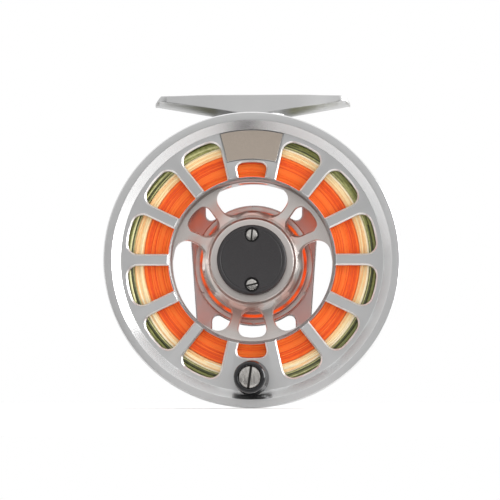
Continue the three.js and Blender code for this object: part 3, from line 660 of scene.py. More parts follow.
def by_slope(piece, first, second, rule):
    """Gives faces that the rule picks the second finish and the rest the first."""
    coat(piece, first, second)
    for face in piece.data.polygons:
        centre = face.center
        radius = math.hypot(centre.x, centre.z)
        face.material_index = 1 if rule(radius, centre.y, face.normal) else 0


for name, cad_node in frame["nodes"].items():
    slot_name = next(s["material_slot"] for s in frame["record"]["subparts"] if s["node"] == name)
    coat(cad_node, SLOT_MATERIALS[slot_name])

# ---- Spool -------------------------------------------------------------------


def spool_blank():
    return turned("spool_body", [
        (HUB_HOLE, HUB_FRONT), (HUB_RING - 0.3, HUB_FRONT), (HUB_RING, 8.15), (HUB_RING + 0.7, 8.95),
        (HUB_RING + 1.6, 9.5), (CONE_RADIUS, 9.85), (CONE_RADIUS + 1.6, 10.08),
        (CONE_RADIUS + 3.4, WEB_FRONT),
        (ARBOR_INSIDE, WEB_FRONT), (ARBOR_INSIDE, FACE_DEPTH + 1.2), (ARBOR, FACE_DEPTH),
        (FACE_RADIUS, FACE_DEPTH), (BEVEL_TOP, 0.0), (RIM - 0.35, 0.0), (RIM, 0.35),
        (RIM, RIM_DEPTH - 0.4), (RIM - 0.4, RIM_DEPTH), (CAGE_INSIDE + 1.6, RIM_DEPTH),
        (CAGE_INSIDE + 1.2, FLANGE_INSIDE), (ARBOR, FLANGE_INSIDE), (ARBOR, WEB_FRONT),
        (ARBOR + ARBOR_STEP, WEB_FRONT), (ARBOR + ARBOR_STEP, BACK_FLANGE_INSIDE),
        (BACK_FLANGE, BACK_FLANGE_INSIDE), (BACK_FLANGE, FLANGE_BACK),
        (ARBOR_INSIDE + ARBOR_STEP, FLANGE_BACK), (ARBOR_INSIDE + ARBOR_STEP, WEB_BACK),
        (BOSS + 2.5, WEB_BACK), (BOSS, WEB_BACK + 1.7), (BOSS, BOSS_BACK),
        (HUB_BORE, BOSS_BACK), (HUB_BORE, HUB_FRONT + HUB_THICK), (HUB_HOLE, HUB_FRONT + HUB_THICK),
    ], ROUND, 0.15)


def window_outline(index, inner, grow=0.0):
    """A flange window, or the short one by the handle or the counterweight."""
    short = index in (0, WINDOWS // 2)
    outer = (SMALL_WINDOW_OUTER if short else WINDOW_OUTER) + grow
    corner = (2.0 if short else WINDOW_CORNER) + grow
    inner -= 0.3 * grow
    return between_spokes(TOP + index * PITCH, PITCH / 2, inner, outer, RIB - 2 * grow, 0.35, corner)


def flared(outline_at, start, end, chamfer, lead=0.3):
    """A cutter from the face at the start, with a 45 degree chamfer there, through to the end."""
    way = 1 if end > start else -1
    return stacked("window", [
        (start - way * lead, outline_at(chamfer + lead)),
        (start + way * chamfer, outline_at(0.0)),
        (end, outline_at(0.0)),
    ])


def web_outline(start, end, grow=0.0):
    narrow = end - start < 3 * PAIR_SPREAD
    corner = (2.5 if narrow else 4.0) + grow
    inner = CONE_RADIUS + (0.0 if narrow else 0.4) - grow
    outer = ARBOR_INSIDE - (1.4 if narrow else 0.15)
    middle, half = (start + end) / 2, (end - start) / 2
    steps = 5 if narrow else 12
    return between_spokes(middle, half, inner, outer, SPOKE - 2 * grow, corner, corner, steps)


def arbor_port(angle):
    """A rounded slot straight through the arbor wall."""
    front, back = WEB_BACK + 1, BACK_FLANGE_INSIDE - 0.6
    corners = [(-PORT_HALF, front), (PORT_HALF, front), (PORT_HALF, back), (-PORT_HALF, back)]
    shape = rounded([(corner, 2) for corner in corners], 4)
    c, s = polar(1, angle)
    rings = []
    for radius in (ARBOR_INSIDE - 1, ARBOR + ARBOR_STEP + 1):
        rings.append([(c * radius - s * u, across, s * radius + c * u) for u, across in shape])
    return lofted("port", rings)


def weight_outline(inner, outer, reach):
    return arc_points(inner, TOP - reach, TOP + reach, 24) + arc_points(outer, TOP + reach, TOP - reach, 24)


def make_spool():
    body = spool_blank()
    cutters = []
    for i in range(WINDOWS):
        seen_side = partial(window_outline, i, WINDOW_INNER)
        far_side = partial(window_outline, i, FAR_WINDOW_INNER)
        cutters.append(flared(seen_side, FACE_DEPTH, FLANGE_INSIDE + 1, 0.5))
        cutters.append(flared(far_side, FLANGE_BACK, BACK_FLANGE_INSIDE - 1, 0.35))
        cutters.append(arbor_port(TOP + i * PITCH))
    spokes = [PITCH * k + side * PAIR_SPREAD for k in (1.5, 5.5, 10.5) for side in (-1, 1)]
    for start, end in zip(spokes, spokes[1:] + [spokes[0] + TAU]):
        cutters.append(flared(partial(web_outline, start, end), WEB_FRONT, WEB_BACK + 1, 0.3, 0.9))
    carved(body, cutters)

    pocket = weight_outline(WEIGHT_POCKET, FACE_RADIUS - 0.05, WEIGHT_REACH)
    cutters = [slab("pocket", pocket, FACE_DEPTH - 1, FACE_DEPTH + WEIGHT_THICK)]
    cutters += [hole(SHANK + 0.15, HUB_FRONT - 1, 10.05, 0, side * CAP_SCREW) for side in (-1, 1)]
    cutters.append(hole(STUD, 0.5, FLANGE_INSIDE + 1, 0, -HANDLE_RADIUS))
    carved(body, cutters)
    coat(body, GREY, POLISHED, HUB, CUT_EDGE)
    for face in body.data.polygons:
        centre = face.center
        radius = math.hypot(centre.x, centre.z)
        slope = -face.normal.y
        if radius < ARBOR_INSIDE + 0.1:
            face.material_index = 2
        elif 0.25 < abs(slope) < 0.97:
            face.material_index = 1 if radius > FACE_RADIUS - 0.3 else 3
    finish_piece(body, "spool", "spool", slot="anodised_grey", angle=24)


def make_counterweight():
    reach = WEIGHT_REACH - 0.2 / WEIGHT_POCKET
    outline = weight_outline(WEIGHT_POCKET + 0.2, FACE_RADIUS - 0.25, reach)
    plate = slab("counterweight_plate", outline, FACE_DEPTH - 0.1, FACE_DEPTH + WEIGHT_THICK - 0.1, 0.12)
    by_slope(plate, WEIGHT, POLISHED, lambda radius, s, normal: 0.2 < -normal.y < 0.95)
    finish_piece(plate, "spool", "counterweight", slot="counterweight_grey")


def make_cap():
    body = turned("hub_cap", [
        (0, CAP_FRONT), (9.6, CAP_FRONT), (9.75, CAP_FRONT + 0.12), (9.95, CAP_FRONT + 0.12),
        (10.1, CAP_FRONT), (CAP - 0.55, CAP_FRONT), (CAP, CAP_FRONT + 0.55), (CAP, CAP_BACK),
        (5.6, CAP_BACK), (5.6, CAP_FRONT + 1.2), (0, CAP_FRONT + 1.2),
    ], ROUND, 0.06)
    seat = CAP_FRONT + 1.5
    cutters = []
    for side in (-1, 1):
        well = [(0, CAP_FRONT - 0.5), (2.9, CAP_FRONT - 0.5), (2.4, CAP_FRONT + 0.15), (2.4, seat)]
        well += [(SHANK + 0.15, seat), (SHANK + 0.15, CAP_BACK + 1), (0, CAP_BACK + 1)]
        cutters.append(turned("well", well, SMALL, 0, 0, side * CAP_SCREW))
    carved(body, cutters)
    finish_piece(body, "spool", "spool_cap", slot="cap_charcoal")
    for name, side, lean in (("upper", 1, 0.1), ("lower", -1, 1.35)):
        slotted_screw(f"cap_screw_{name}", 1.85, CAP_FRONT + 0.1, seat - 0.1, 9.8,
                      side * CAP_SCREW, 0.55, 0.8, lean)


def slotted_screw(node_name, head, front, seat, end, z, slot_width, slot_depth, lean):
    """A slightly domed screw on the spool, with a straight slot."""
    screw = turned(f"{node_name}_fine", [
        (0, front), (0.6 * head, front + 0.04), (0.9 * head, front + 0.16), (head, front + 0.34),
        (head, seat), (SHANK, seat), (SHANK, end), (0, end),
    ], SMALL, 0.05, 0, z)
    carved(screw, [bar(slot_width, front - 0.5, front + slot_depth, 3 * head, 0, z, lean)])
    paint_slot_shade(screw, front + 0.3, front + slot_depth + 0.1, head, z)
    finish_piece(screw, "spool", node_name, slot="steel")


def paint_slot_shade(screw, front, back, head, z):
    """Steel all over, with painted shade on the walls and floor inside the slot."""
    coat(screw, STEEL, SLOT_SHADE)
    for face in screw.data.polygons:
        centre = face.center
        inside = math.hypot(centre.x, centre.z - z) < 0.9 * head
        wall = abs(face.normal.y) < 0.3 and centre.y < back
        floor = front < centre.y < back
        face.material_index = 1 if inside and (wall or floor) else 0


def make_handle():
    base = HANDLE_BASE
    front = span("handle_knob")[0]
    screw_front = span("handle_screw")[0]
    bore = 2.9
    recess = screw_front + 1.7
    knob = turned("handle_grip", [
        (bore, base - 0.2), (5.0, base - 0.2), (5.55, base - 0.5), (5.6, base - 1.2), (5.45, base - 2.2),
        (4.95, base - 4.0), (4.5, base - 6.0), (4.3, base - 8.2), (4.32, base - 10.5),
        (4.5, base - 13.0), (4.75, base - 15.4), (4.95, base - 17.6), (5.0, front + 2.2),
        (4.95, front + 0.9), (4.75, front + 0.35), (4.35, front), (3.75, front), (3.6, front + 0.15),
        (3.6, recess), (bore, recess),
    ], FINE, 0.3, 0, -HANDLE_RADIUS)
    finish_piece(knob, "handle", "handle_knob", slot="handle_black", angle=50)
    slotted_screw("handle_screw", 3.45, screw_front, screw_front + 1.6, screw_front + 9.6,
                  -HANDLE_RADIUS, 0.75, 1.1, 0.14)
    collar = turned("post_collar", [
        (STUD, base + 0.1), (2.8, base + 0.1), (3.0, base + 0.25), (3.0, FACE_DEPTH - 0.1),
        (STUD, FACE_DEPTH - 0.1),
    ], SMALL, 0.05, 0, -HANDLE_RADIUS)
    finish_piece(collar, "spool", "handle_collar", slot="steel")


# ---- Wound line --------------------------------------------------------------


def strands(name, paths, sides=7):
    """Round strands along lists of (angle, radius, depth, thickness), each list with its own tone."""
    vertices = []
    faces = []
    tones = []
    for path, closed, tone in paths:
        start = len(vertices)
        for angle, radius, s, thickness in path:
            for k in range(sides):
                turn = TAU * k / sides
                r = radius + thickness * math.cos(turn)
                vertices.append((r * math.cos(angle), s + thickness * math.sin(turn), r * math.sin(angle)))
                tones.append(tone)
        rings = len(path)
        for i in range(rings if closed else rings - 1):
            a, b = start + i * sides, start + (i + 1) % rings * sides
            for k in range(sides):
                m = (k + 1) % sides
                faces.append([a + k, a + m, b + m, b + k])
        if not closed:
            faces.append([start + k for k in range(sides)])
            faces.append([start + (rings - 1) * sides + k for k in reversed(range(sides))])
    piece = make(name, vertices, faces)
    tone_data = piece.data.attributes.new("tone", "FLOAT", "POINT")
    for i, tone in enumerate(tones):
        tone_data.data[i].value = tone
    orient(piece)
    for polygon in piece.data.polygons:
        polygon.use_smooth = True
    return piece


def wobbling(chance, size, waves=3):
    """A smooth closed wobble with its own random phases."""
    terms = [(chance.uniform(-1, 1), chance.randint(1, 5), chance.uniform(0, TAU)) for _ in range(waves)]
    return lambda angle: size * sum(a * math.sin(n * angle + p) for a, n, p in terms) / waves


def closed_turn(place_at, tone, thickness):
    """A strand all the way round. place_at gives its radius and depth at an angle."""
    angles = [TAU * k / ROUND for k in range(ROUND)]
    return [(angle, *place_at(angle), thickness) for angle in angles], True, tone


def side_strands(chance, inner, outer, face, outward, thickness, step):
    """The ends of the wound layers, seen on one side of the winding: rings that lie close together."""
    paths = []
    count = int((outer - inner) / step)
    for i in range(count + 1):
        radius = inner + thickness + (outer - inner - 2 * thickness) * i / count
        sway, lean = wobbling(chance, 0.5 * thickness), wobbling(chance, 0.5 * thickness)
        push = chance.uniform(0, 0.9) * thickness

        def place_at(angle):
            r = min(max(radius + sway(angle), inner + thickness), outer - thickness)
            return r, face + outward * (thickness + push + abs(lean(angle)))

        paths.append(closed_turn(place_at, chance.random(), thickness))
    return paths


def crossing_strands(chance, inner, outer, face, outward, thickness, count):
    """Stretches that drift outwards across the others where one layer ends and the next begins."""
    paths = []
    overlap = 0.96 * thickness
    for _ in range(count):
        start = chance.uniform(0, TAU)
        sweep = chance.uniform(0.7, 2.2)
        low = chance.uniform(inner, outer - 3 * thickness)
        high = min(outer - 1.2 * thickness, low + chance.uniform(1.5, 4) * thickness)
        steps = int(sweep / TAU * ROUND) + 2
        path = []
        for k in range(steps + 1):
            t = k / steps
            ease = t * t * (3 - 2 * t)
            radius = low + thickness + (high - low) * ease
            dip = 1.5 * thickness * (1 - math.sin(math.pi * t) ** 0.5)
            s = face + outward * (thickness * 0.9 + dip)
            path.append((start + sweep * t, radius, s, overlap))
        paths.append((path, False, chance.random()))
    return paths


def outer_strands(chance, radius, front, back, thickness):
    """The outside layer: turns side by side, each leaning a little into the next."""
    paths = []
    count = int((back - front) / (2.02 * thickness))
    for i in range(count):
        middle = front + thickness + (back - front - 2 * thickness) * i / (count - 1)
        sway, lift = wobbling(chance, 0.35 * thickness), wobbling(chance, 0.25 * thickness)

        def place_at(angle):
            s = min(max(middle + sway(angle), front + thickness), back - thickness)
            return radius - thickness - abs(lift(angle)), s

        paths.append(closed_turn(place_at, chance.random(), thickness))
    return paths


def winding(name, node_name, slot_name, inner, outer, thickness, step, crossings, seed):
    """A full core with its strands on both sides, and over its outside where that shows."""
    innermost, outermost = inner < ARBOR + 1, outer > LINE - 1
    back_inner = inner + (ARBOR_STEP if innermost else 0)
    chance = random.Random(seed)
    side = 2.2 * thickness
    paths = side_strands(chance, inner, outer, LINE_FRONT, 1, thickness, step)
    paths += crossing_strands(chance, inner, outer, LINE_FRONT, 1, thickness, crossings)
    paths += side_strands(chance, back_inner, outer, LINE_BACK, -1, thickness, step)
    if outermost:
        paths += outer_strands(chance, outer, LINE_FRONT, LINE_BACK, thickness)
    turns = place(coat(strands(name, paths), SLOT_MATERIALS[slot_name]))
    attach(turns, "spool")
    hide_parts(node_name)
    lip = 1.2 * thickness if outermost else 0.05
    core = turned(f"{name}_core", [
        (inner, LINE_FRONT + side), (outer - lip, LINE_FRONT + side), (outer - lip, LINE_BACK - side),
        (back_inner, LINE_BACK - side), (back_inner, WEB_FRONT - 0.3), (inner, WEB_FRONT - 0.3),
    ], ROUND, 0)
    if innermost:
        # Painted light: the innermost core's inside wall glows orange, for bounce light on the web and hub.
        wall = inner + ARBOR_STEP + 0.1
        by_slope(core, ORANGE, ORANGE_GLOW, lambda r, s, normal: r < wall and abs(normal.y) < 0.5)
    finish_piece(core, "spool", slot=slot_name)


make_spool()
make_counterweight()
make_cap()
make_handle()
winding("backing_turns", "backing_winding", "orange_backing", ARBOR + 0.1, BACKING, 0.2, 0.34, 26, 3)
winding("running_line_turns", "running_line_winding", "peach_line", BACKING, RUNNING, 0.4, 0.62, 12, 5)
winding("head_turns", "head_winding", "olive_line", RUNNING, LINE, 0.5, 0.75, 12, 8)

# ---- Cage --------------------------------------------------------------------


def between_pillars(start, end, front, back, corner=1.4):
    """A cutter for the cage wall between two pillars, round in its corners."""
    turn = corner / CAGE_INSIDE
    bends = [TAU / 4 * k / 6 for k in range(7)]
    opening = [(start + turn * (1 - math.cos(t)), corner * (1 - math.sin(t))) for t in bends]
    closing = [(end - turn * (1 - math.cos(t)), corner * (1 - math.sin(t))) for t in reversed(bends)]
    steps = max(4, int((end - start) / TAU * ROUND))
    first, last = start + turn, end - turn
    middle = [(first + (last - first) * k / steps, 0.0) for k in range(1, steps)]
    rings = []
    for angle, inset in opening + middle + closing:
        x, z = polar(1, angle)
        low, high = front + inset, back - inset
        section = [(CAGE_INSIDE - 1, low), (CAGE + 1, low), (CAGE + 1, high), (CAGE_INSIDE - 1, high)]
        rings.append([(x * r, s, z * r) for r, s in section])
    return lofted("gap", rings)


def through_cutter(outline, front, back, front_chamfer, back_chamfer):
    """A cutter through a plate, opened out by a chamfer on both sides."""
    return stacked("opening", [
        (front - 0.3, shrunk(outline, -front_chamfer - 0.3)),
        (front + front_chamfer, outline),
        (back - back_chamfer, outline),
        (back + 0.3, shrunk(outline, -back_chamfer - 0.3)),
    ])


def arc_between(radius, start, end, count):
    return [(polar(radius, start + (end - start) * (i + 1) / (count + 1)), 0) for i in range(count)]


def upright_opening(half_width, sign):
    """Opening with upright sides, above (sign 1) or below (sign -1) the drag."""
    low = math.acos(half_width / DRAG_RING)
    high = math.acos(half_width / PLATE_HOLE_OUTER)
    keep = 0.1
    corners = [(polar(DRAG_RING, low), 2), (polar(PLATE_HOLE_OUTER, high), 3)]
    corners += arc_between(PLATE_HOLE_OUTER, high + keep, math.pi - high - keep, 12)
    corners += [(polar(PLATE_HOLE_OUTER, math.pi - high), 3), (polar(DRAG_RING, math.pi - low), 2)]
    corners += arc_between(DRAG_RING, math.pi - low - keep, low + keep, 12)
    return rounded([((x, sign * z), corner) for (x, z), corner in corners])


def side_opening(sign):
    """The opening at the right (sign 1) or left (sign -1), straight on its inner side."""
    high, low = math.radians(33), math.radians(-62)
    corners = [(polar(DRAG_RING + 2.9, math.radians(24)), 2), (polar(PLATE_HOLE_OUTER, high), 3)]
    corners += arc_between(PLATE_HOLE_OUTER, high - 0.08, low + 0.08, 18)
    corners.append((polar(PLATE_HOLE_OUTER, low), 3))
    return rounded([((sign * x, z), corner) for (x, z), corner in corners])


def upright_turned(name, outline, x, s, soft=0.04):
    """A turned piece that stands upright. Its outline is a loop of (radius, height) corners."""
    piece = turned(name, outline, SMALL, soft)
    for vertex in piece.data.vertices:
        across, height, along = vertex.co
        vertex.co = (x + across, s + along, height)
    orient(piece)
    return piece


def make_frame():
    body = turned("cage", [
        (CAGE_INSIDE, CAGE_FRONT), (CAGE_WALL - 0.5, CAGE_FRONT), (CAGE_WALL, CAGE_FRONT + 0.5),
        (CAGE_WALL, PLATE_FRONT - 2.4), (CAGE, PLATE_FRONT - 2.0), (CAGE, PLATE_BACK - 0.9),
        (CAGE - 0.9, PLATE_BACK), (HOUSING_BORE, PLATE_BACK), (HOUSING_BORE, PLATE_FRONT - 0.8),
        (HOUSING_BORE + 1.7, PLATE_FRONT - 0.8), (HOUSING_BORE + 1.7, PLATE_FRONT),
        (CAGE_INSIDE, PLATE_FRONT),
    ], ROUND, 0.12)
    posts = sorted([(a - PILLAR, a + PILLAR) for a in PILLARS] + [(TOP - BRIDGE, TOP + BRIDGE)])
    cutters = []
    next_starts = [start for start, end in posts[1:]] + [posts[0][0] + TAU]
    for (_, start), end in zip(posts, next_starts):
        cutters.append(between_pillars(start, end, CAGE_FRONT + 3.0, PLATE_FRONT - 2.8))
    outlines = [upright_opening(16.2, 1), upright_opening(14.0, -1), side_opening(1), side_opening(-1)]
    cutters += [through_cutter(outline, PLATE_FRONT, PLATE_BACK, 0.3, 0.6) for outline in outlines]
    carved(body, cutters)

    deep = PEDESTAL_WIDE + 0.3
    carved(body, [block(FOOT_DEPTH - deep, FOOT_DEPTH + deep, -15, 15, PAD, PAD + 4)])
    pockets = []
    for side in (-1, 1):
        outline = [(0, PAD - 6), (2.5, PAD - 6), (2.5, PAD - 1.15), (1.55, PAD - 1.15), (1.55, PAD + 1)]
        outline.append((0, PAD + 1))
        pockets.append(upright_turned("pocket", outline, side * FOOT_SCREW, FOOT_DEPTH, 0))
    carved(body, pockets)

    def bright(radius, s, normal):
        chamfer = 0.25 < abs(normal.y) < 0.97
        return chamfer and s > PLATE_FRONT - 3 or radius > CAGE - 0.2

    by_slope(body, GREY, POLISHED, bright)
    finish_piece(body, "frame", "frame", slot="anodised_grey", angle=24)
    for name, side in (("left", -1), ("right", 1)):
        top_of_head = PAD - 1.25
        screw = upright_turned(f"seat_screw_{name}", [
            (0, top_of_head - 1.7), (1.8, top_of_head - 1.7), (2.2, top_of_head - 1.3),
            (2.2, top_of_head), (1.4, top_of_head), (1.4, PAD + 5.6), (0, PAD + 5.6),
        ], side * FOOT_SCREW, FOOT_DEPTH)
        x = side * FOOT_SCREW
        low, high = top_of_head - 2.5, top_of_head - 1.1
        carved(screw, [block(FOOT_DEPTH - 0.3, FOOT_DEPTH + 0.3, x - 3, x + 3, low, high)])
        coat(screw, STEEL)
        finish_piece(screw, "frame", f"foot_screw_{name}", slot="steel")


# ---- Foot --------------------------------------------------------------------


def smoothstep(x, low, high):
    t = min(1.0, max(0.0, (x - low) / (high - low)))
    return t * t * (3 - 2 * t)


def foot_ring(x):
    """A closed section of the foot: a saddled top, sides with small radii, a crowned underside."""
    reach = abs(x)
    tip = FOOT_HALF - 4.2
    straight = 7.4 + (5.6 - 7.4) * smoothstep(reach, 14, tip)
    bend = max(0.0, (reach - tip) / (FOOT_HALF + 0.15 - tip))
    width = straight * math.sqrt(1 - bend**2)
    ramp = max(0.0, reach - (FOOT_HALF - 2)) / 2
    top_middle = -1.6 * ramp
    top_edge = 0.5 * (1 - ramp) - 1.6 * ramp
    line = 0.9 + 0.165 * (FOOT_HALF - reach)
    edge = max(line, 1.6 * ramp + 0.7)
    deepest = max(line + 1.4, edge + 0.2)
    over = []
    for k in range(17):
        share = -1 + 2 * k / 16
        lift = smoothstep(abs(share), 0.45, 1.0)
        over.append((0.975 * width * share, top_middle + (top_edge - top_middle) * lift))
    side = [(width, top_edge - 0.2), (width, -edge + 0.15), (0.985 * width, -edge)]
    under = []
    for k in range(13):
        share = 0.95 - 1.9 * k / 12
        under.append((share * width, -edge - (deepest - edge) * (1 - (share / 0.97) ** 2)))
    mirrored = [(-y, z) for y, z in reversed(side)]
    loop = over + side + under + mirrored
    return [(x, FOOT_DEPTH + y, z + AXIS_DROP) for y, z in loop]


def make_foot():
    grid = [0, 3, 6, 9, 12, 15, 18, 21, 24, 26, FOOT_HALF - 4.2]
    for k in range(1, 13):
        grid.append(FOOT_HALF - 4.2 * (1 - math.sin(TAU / 4 * k / 12)))
    stations = [-x for x in reversed(grid[1:])] + grid
    bar_part = lofted("foot", [foot_ring(x) for x in stations])
    for vertex in bar_part.data.vertices:
        vertex.co.x = max(-FOOT_HALF, min(FOOT_HALF, vertex.co.x))

    plan = [(1, 0, 1), (0.9, 0.59, 1), (0.54, 1, 3), (-0.54, 1, 3), (-0.9, 0.59, 1), (-1, 0, 1)]
    plan += [(-0.9, -0.59, 1), (-0.54, -1, 3), (0.54, -1, 3), (0.9, -0.59, 1)]
    outline = rounded([((x * PEDESTAL_LONG, y * PEDESTAL_WIDE), corner) for x, y, corner in plan], 5)
    low, high = PAD + 0.1, AXIS_DROP - 1.5
    fillet = 1.1
    middle = AXIS_DROP - 4.4
    levels = [(low, -0.35), (low + 0.35, 0.0), (middle - fillet, 0.0)]
    for k in range(1, 7):
        t = TAU / 4 * k / 6
        levels.append((middle - fillet * (1 - math.sin(t)), fillet * (1 - math.cos(t))))
    levels.append((high, fillet))
    rings = []
    for height, grow in levels:
        loop = shrunk(outline, -grow)
        rings.append([(x, FOOT_DEPTH + max(-7.3, min(7.3, y)), height) for x, y in loop])
    carved(bar_part, [lofted("pedestal", rings)], "UNION")
    holes = []
    for side in (-1, 1):
        bore = [(0, PAD - 1), (1.55, PAD - 1), (1.55, PAD + 6), (0, PAD + 6)]
        holes.append(upright_turned("bore", bore, side * FOOT_SCREW, FOOT_DEPTH, 0))
    carved(bar_part, holes)
    finish_piece(bar_part, "frame", "reel_foot", slot="anodised_grey", angle=28)


# ---- Drag --------------------------------------------------------------------


def steel_piece(name, node_name, body, soft, outline):
    """A turned piece of steel, with no more work done on it."""
    finish_piece(turned(name, outline, FINE, soft), body, node_name, slot="steel")


def make_housing():
    front, back = span("drag_housing")
    inside = HOUSING - 3.0
    drum = turned("drag_drum", [
        (inside, front), (HOUSING - 1.6, front), (HOUSING - 1.6, PLATE_BACK + 0.1),
        (HOUSING, PLATE_BACK + 0.2), (HOUSING, back - 0.6), (HOUSING - 0.6, back), (5.3, back),
        (5.3, back - 0.3), (6.5, back - 0.3), (6.5, back - 1.2), (5.3, back - 1.2), (5.3, back - 1.6),
        (inside, back - 1.6),
    ], ROUND, 0.1)
    marks = []
    for i in range(20):
        x, z = polar(HOUSING - 1.7, BOTTOM + TAU * i / 20)
        marks.append(hole(0.42, back - 0.35, back + 0.5, x, z, segments=20))
    carved(drum, marks)
    by_slope(drum, GREY, POLISHED, lambda radius, s, normal: 0.25 < normal.y < 0.95 and radius > 17)
    finish_piece(drum, "frame", "drag_housing", slot="anodised_grey")

    lock_front, lock_back = span("housing_lock_ring")
    lock = turned("lock_ring", [
        (HOUSING - 1.5, lock_front), (HOUSING - 0.1, lock_front), (HOUSING + 0.2, lock_front + 0.3),
        (HOUSING + 0.2, lock_back), (HOUSING - 1.5, lock_back),
    ], ROUND, 0.06)
    notches = []
    for i in range(6):
        x, z = polar(HOUSING - 0.4, TAU * (i + 0.5) / 6)
        notches.append(hole(0.6, lock_front - 1, lock_front + 1.1, x, z, segments=24))
    carved(lock, notches)
    finish_piece(lock, "frame", "housing_lock_ring", slot="hub_grey")

    cover_front, cover_back = span("drag_cover")
    edge = HOUSING - 1.8
    cover = turned("drag_lid", [
        (9.0, cover_front + 0.4), (10.2, cover_front), (edge - 1.0, cover_front + 0.4),
        (edge, cover_front + 1.2), (edge, front - 0.1), (inside - 0.2, front - 0.1),
        (inside - 0.2, cover_back), (9.0, cover_back), (9.0, front + 1.4), (10.1, front + 1.4),
        (10.1, front + 0.4), (9.0, front + 0.4),
    ], ROUND, 0.08)
    pin_low, pin_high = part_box("pawl_pin")
    pin_radius = ((pin_low.z + pin_high.z) / 2 - AXIS_Z) / MM
    spring_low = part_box("click_spring")[0]
    post_x = spring_low.x / MM + 0.6
    cutters = [hole(0.95, cover_front - 1, cover_front + 1.05, 0, pin_radius, segments=24)]
    cutters.append(hole(0.75, cover_front - 1, cover_front + 1.05, post_x, pin_radius + 0.5, segments=24))
    carved(cover, cutters)
    finish_piece(cover, "frame", "drag_cover", slot="hub_grey")


def make_knob():
    end = span("drag_adjuster")[1]
    shoulder = end + 1.4
    knob = turned("adjuster_knob", [
        (5.15, KNOB_FRONT), (KNOB - 0.6, KNOB_FRONT), (KNOB, KNOB_FRONT + 0.6),
        (KNOB, KNOB_BACK - 1.2), (KNOB - 1.2, KNOB_BACK), (9.0, KNOB_BACK), (8.6, KNOB_BACK - 0.4),
        (6.0, KNOB_BACK - 0.4), (3.6, KNOB_BACK - 0.4), (3.6, shoulder), (2.1, shoulder),
        (2.1, end + 0.2), (5.15, end + 0.2),
    ], ROUND, 0.25)
    scallops = []
    for i in range(10):
        x, z = polar(KNOB + 3.2, TAU * (i + 0.5) / 10)
        reach = 4.6
        cutter = turned("scallop", [
            (0, KNOB_FRONT - 0.5), (reach + 0.9, KNOB_FRONT - 0.5), (reach, KNOB_FRONT + 0.5),
            (reach, KNOB_BACK - 0.7), (reach + 1.3, KNOB_BACK + 0.6), (0, KNOB_BACK + 0.6),
        ], SMALL, 0, x, z)
        scallops.append(cutter)
    carved(knob, scallops)
    mark_x, mark_z = polar(12.3, TOP)
    details = [hole(0.9, KNOB_BACK - 0.5, KNOB_BACK + 0.5, mark_x, mark_z, segments=32)]
    details.append(hole(1.15, KNOB_FRONT - 1, KNOB_FRONT + 4, 11, 0, segments=32))
    carved(knob, details)
    by_slope(knob, GREY, POLISHED, lambda radius, s, normal: 0.3 < abs(normal.y) < 0.95)
    finish_piece(knob, "drag_knob", "drag_knob", slot="anodised_grey")

    front, back = span("knob_screw")
    screw = turned("knob_fastener", [
        (0, front), (1.95, front), (1.95, shoulder + 0.1), (3.4, shoulder + 0.1),
        (3.4, back - 0.3), (3.1, back), (0, back),
    ], SMALL, 0.06)
    carved(screw, [bar(0.9, back - 0.8, back + 0.5, 9, 0, 0, 0)])
    finish_piece(screw, "drag_knob", "knob_screw", slot="steel")


# ---- Spindle, hub and handle post --------------------------------------------


def make_spindle():
    tip, end = span("spindle")
    clip_front, clip_back = span("retaining_clip")
    steel_piece("main_spindle", "spindle", "frame", 0.05, [
        (0, tip), (2.3, tip), (3, tip + 0.6), (3, tip + 1.1), (2.4, tip + 1.1), (2.4, tip + 1.9),
        (3, tip + 1.9), (3, clip_front - 0.05), (2.5, clip_front - 0.05), (2.5, clip_back + 0.05),
        (3, clip_back + 0.05), (3, end), (0, end),
    ])
    front, back = span("clutch_hub")
    outer = radius_of("clutch_hub")
    steel_piece("one_way_hub", "clutch_hub", "drive_hub", 0.06, [
        (outer - 2, front), (outer - 0.4, front), (outer, front + 0.4), (outer, back), (outer - 2, back),
    ])
    for name in ("front_bearing", "rear_bearing"):
        outside = radius_of(name)
        front, back = span(name)
        steel_piece(f"{name}_races", name, "drive_hub", 0.04, [
            (3.1, front), (4.0, front), (4.05, front + 0.25), (5.6, front + 0.25), (5.65, front),
            (outside, front), (outside, back), (5.65, back), (5.6, back - 0.25), (4.05, back - 0.25),
            (4.0, back), (3.1, back),
        ])


def make_handle_post():
    post_front = span("handle_spindle")[0]
    base = HANDLE_BASE
    post = turned("handle_post", [
        (1.25, post_front), (2.0, post_front), (2.0, base), (1.5, base), (1.5, FLANGE_INSIDE - 0.1),
        (0, FLANGE_INSIDE - 0.1), (0, post_front + 8.5), (1.25, post_front + 8.5),
    ], SMALL, 0, 0, -HANDLE_RADIUS)
    finish_piece(post, "spool", "handle_spindle", slot="steel")


make_frame()
make_foot()
make_housing()
make_knob()
make_spindle()
make_handle_post()

# ---- Camera, light and floor -------------------------------------------------


def aimed(thing, target):
    thing.rotation_euler = (Vector(target) - thing.location).to_track_quat("-Z", "Y").to_euler()


def add_camera():
    data = bpy.data.cameras.new("camera")
    camera = bpy.data.objects.new("camera", data)
    bpy.context.scene.collection.objects.link(camera)
    data.lens = 126.7
    data.sensor_width = 36
    distance, height = 0.56, 0.0018
    camera.location = (0.016, RIM_FRONT - distance, AXIS_Z - RIM * MM + height)
    aimed(camera, (-0.00054, RIM_FRONT + FACE_DEPTH * MM, AXIS_Z + 0.00305))
    bpy.context.scene.camera = camera


def area(name, place_at, target, size, power, size_y=None):
    data = bpy.data.lights.new(name, "AREA")
    data.shape = "RECTANGLE"
    data.size = size
    data.size_y = size_y or size
    data.energy = power
    light = bpy.data.objects.new(name, data)
    light.location = place_at
    bpy.context.scene.collection.objects.link(light)
    aimed(light, target)


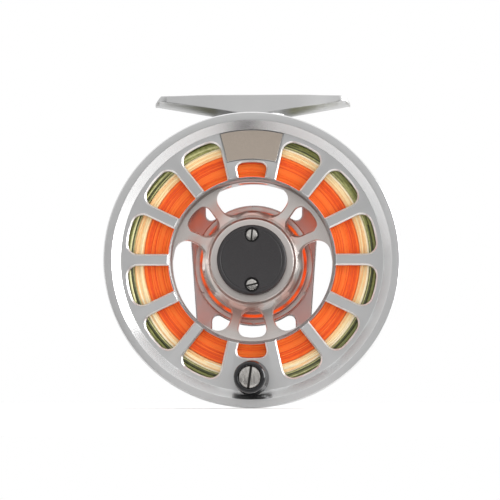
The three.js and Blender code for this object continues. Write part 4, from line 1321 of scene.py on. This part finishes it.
def sheet(name, material, left, right, front, back, level):
    """A flat card or floor of the studio."""
    corners = [(left, front), (right, front), (right, back), (left, back)]
    piece = make(name, [(x, y, level) for x, y in corners], [[0, 1, 2, 3]])
    coat(piece, material)
    return piece


def matt(name, roughness, scale, low, high):
    """A matt surface that is mottled between two greys."""
    material, tree, principled = shader(name, roughness=roughness)
    colour = ramp(tree, noise(tree, scale, 2), [(0, grey(low)), (1, grey(high))])
    tree.links.new(colour, principled.inputs["Base Color"])
    return material


def add_studio():
    middle = (0, 0, AXIS_Z)
    area("right_softbox", (0.55, -0.12, 0.02), middle, 0.35, 4.0, 0.5)
    world = bpy.data.worlds.new("studio")
    bpy.context.scene.world = world
    world.use_nodes = True
    tree = world.node_tree
    direction = tree.nodes.new("ShaderNodeTexCoord").outputs["Generated"]
    split = tree.nodes.new("ShaderNodeSeparateXYZ")
    tree.links.new(direction, split.inputs["Vector"])
    height = node(tree, "ShaderNodeMapRange")
    height.inputs["From Min"].default_value = -1
    tree.links.new(split.outputs["Z"], height.inputs["Value"])
    stops = [(0.0, grey(0.3)), (0.5, grey(0.85)), (0.7, grey(1.0)), (1.0, grey(1.25))]
    room = tree.nodes["Background"]
    tree.links.new(ramp(tree, height.outputs["Result"], stops), room.inputs["Color"])
    backdrop = tree.nodes.new("ShaderNodeBackground")
    backdrop.inputs["Color"].default_value = (1, 1, 1, 1)
    seen = tree.nodes.new("ShaderNodeLightPath")
    pick = tree.nodes.new("ShaderNodeMixShader")
    tree.links.new(seen.outputs["Is Camera Ray"], pick.inputs[0])
    tree.links.new(room.outputs[0], pick.inputs[1])
    tree.links.new(backdrop.outputs[0], pick.inputs[2])
    tree.links.new(pick.outputs[0], tree.nodes["World Output"].inputs["Surface"])
    bpy.context.scene.view_settings.view_transform = "Standard"

    floor_level = AXIS_Z - RIM * MM - 0.0001
    reach = 3.0
    card_finish = matt("dark_card", 1.0, 4, 0.12, 0.12)
    card = sheet("dark_card", card_finish, -0.35, 0.35, -0.9, -0.07, floor_level + 0.0005)
    card.visible_camera = False
    card.visible_diffuse = False
    card.visible_shadow = False
    sheet("floor", matt("floor_white", 0.9, 3, 0.93, 0.95), -reach, reach, -reach, reach, floor_level)


add_camera()
add_studio()
